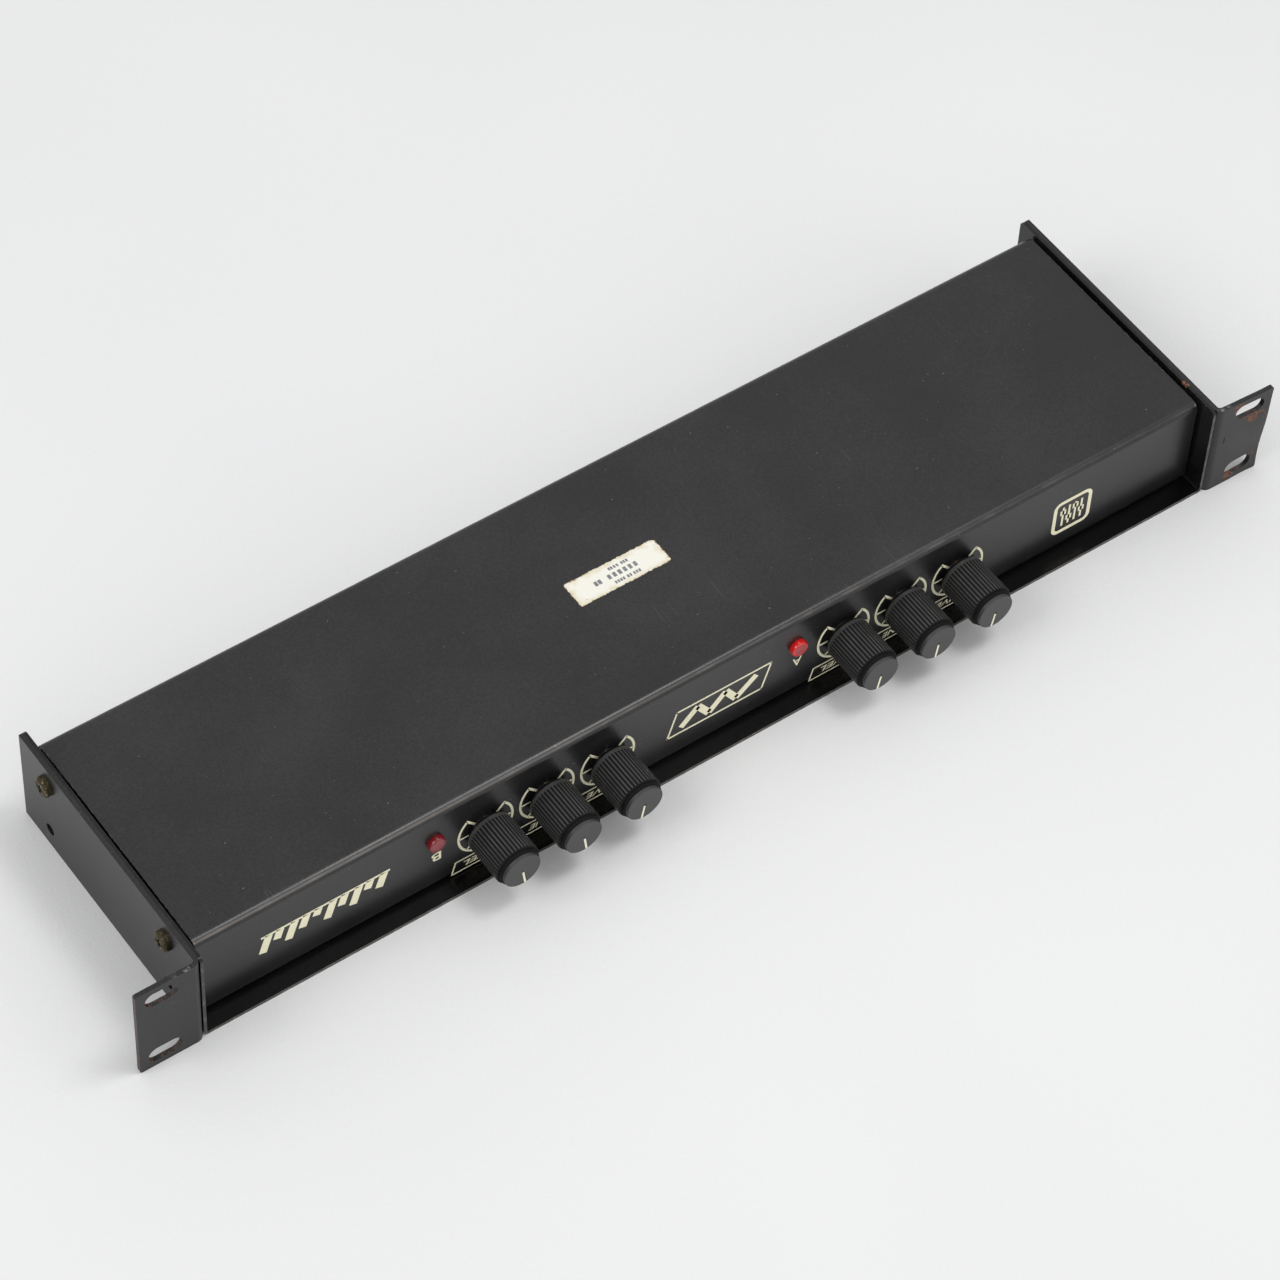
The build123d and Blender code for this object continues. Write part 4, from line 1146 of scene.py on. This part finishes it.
bench = bmesh.new()
bench.from_mesh(frame["nodes"]["rack_ear_right"].data)
bmesh.ops.remove_doubles(bench, verts=bench.verts, dist=0.002 * MM)
bmesh.ops.dissolve_limit(
    bench, angle_limit=math.radians(0.5), verts=bench.verts, edges=bench.edges,
)
columns = range(FIRST_CUT, LAST_CUT + 1, CUT_STEP)
rows = range(-CUT_HALF_HEIGHT, CUT_HALF_HEIGHT + 1, CUT_STEP)
cuts = [((cut_x * MM, 0, 0), (1, 0, 0)) for cut_x in columns]
cuts += [((0, 0, cut_z * MM), (0, 0, 1)) for cut_z in rows]
for point, normal in cuts:
    near = [face for face in bench.faces if max(v.co.x for v in face.verts) > (FIRST_CUT - 1) * MM]
    edges = list({edge for face in near for edge in face.edges})
    verts = list({vert for face in near for vert in face.verts})
    bmesh.ops.bisect_plane(
        bench, geom=near + edges + verts, dist=0.001 * MM, plane_co=point, plane_no=normal,
    )
for vert in bench.verts:
    out = max(0.0, (vert.co.x / MM - EAR_BEND_X) / (EAR_EDGE - EAR_BEND_X))
    up = (vert.co.z / MM + EAR_TOP) / (2 * EAR_TOP)
    lean = out ** 1.5 * (LEAN_LOW + (LEAN_TOP - LEAN_LOW) * up ** 2)
    ripple = 0.28 * out * math.sin(vert.co.z / MM * 0.19 + 0.6)
    ripple += 0.18 * out * math.sin(out * 7.0 + up * 2)
    tuck = out ** 2 * (1.5 * (1 - up) + 0.25 * math.sin(up * math.pi))
    droop = (0.7 * math.sin(out * math.pi) + 1.6 * max(0.0, out - 0.86)) * up ** 6
    vert.co.y -= (lean + ripple) * MM
    vert.co.x -= tuck * MM
    vert.co.z -= droop * MM
ear = add_piece("bent_ear", bench, ear_paint)
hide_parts("rack_ear_right")

# %% [markdown]
# ## Smooth bends
# A bend in a sheet is a few flat facets in a solid's mesh, and each facet would catch the light on its
# own. Copies of the folded sheets are merged, so that their bends shade smoothly. Weighted normals
# keep the large flat faces flat, because each corner then takes the normal of its largest face.

# %% Smooth the folded sheets
SHEETS = {
    "front_panel": ("smooth_front_panel", tray_paint, "tray_paint"),
    "rear_panel": ("smooth_rear_panel", tray_paint, "tray_paint"),
    "top_cover": ("smooth_top_cover", cover_paint, "cover_paint"),
    "rack_ear_left": ("smooth_ear", ear_paint, "ear_paint"),
}
for node, (name, paint, slot) in SHEETS.items():
    bench = bmesh.new()
    bench.from_mesh(frame["nodes"][node].data)
    sheet = add_piece(name, bench, paint)
    flatten = sheet.modifiers.new("flat_faces", "WEIGHTED_NORMAL")
    flatten.keep_sharp = True
    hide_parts(node)
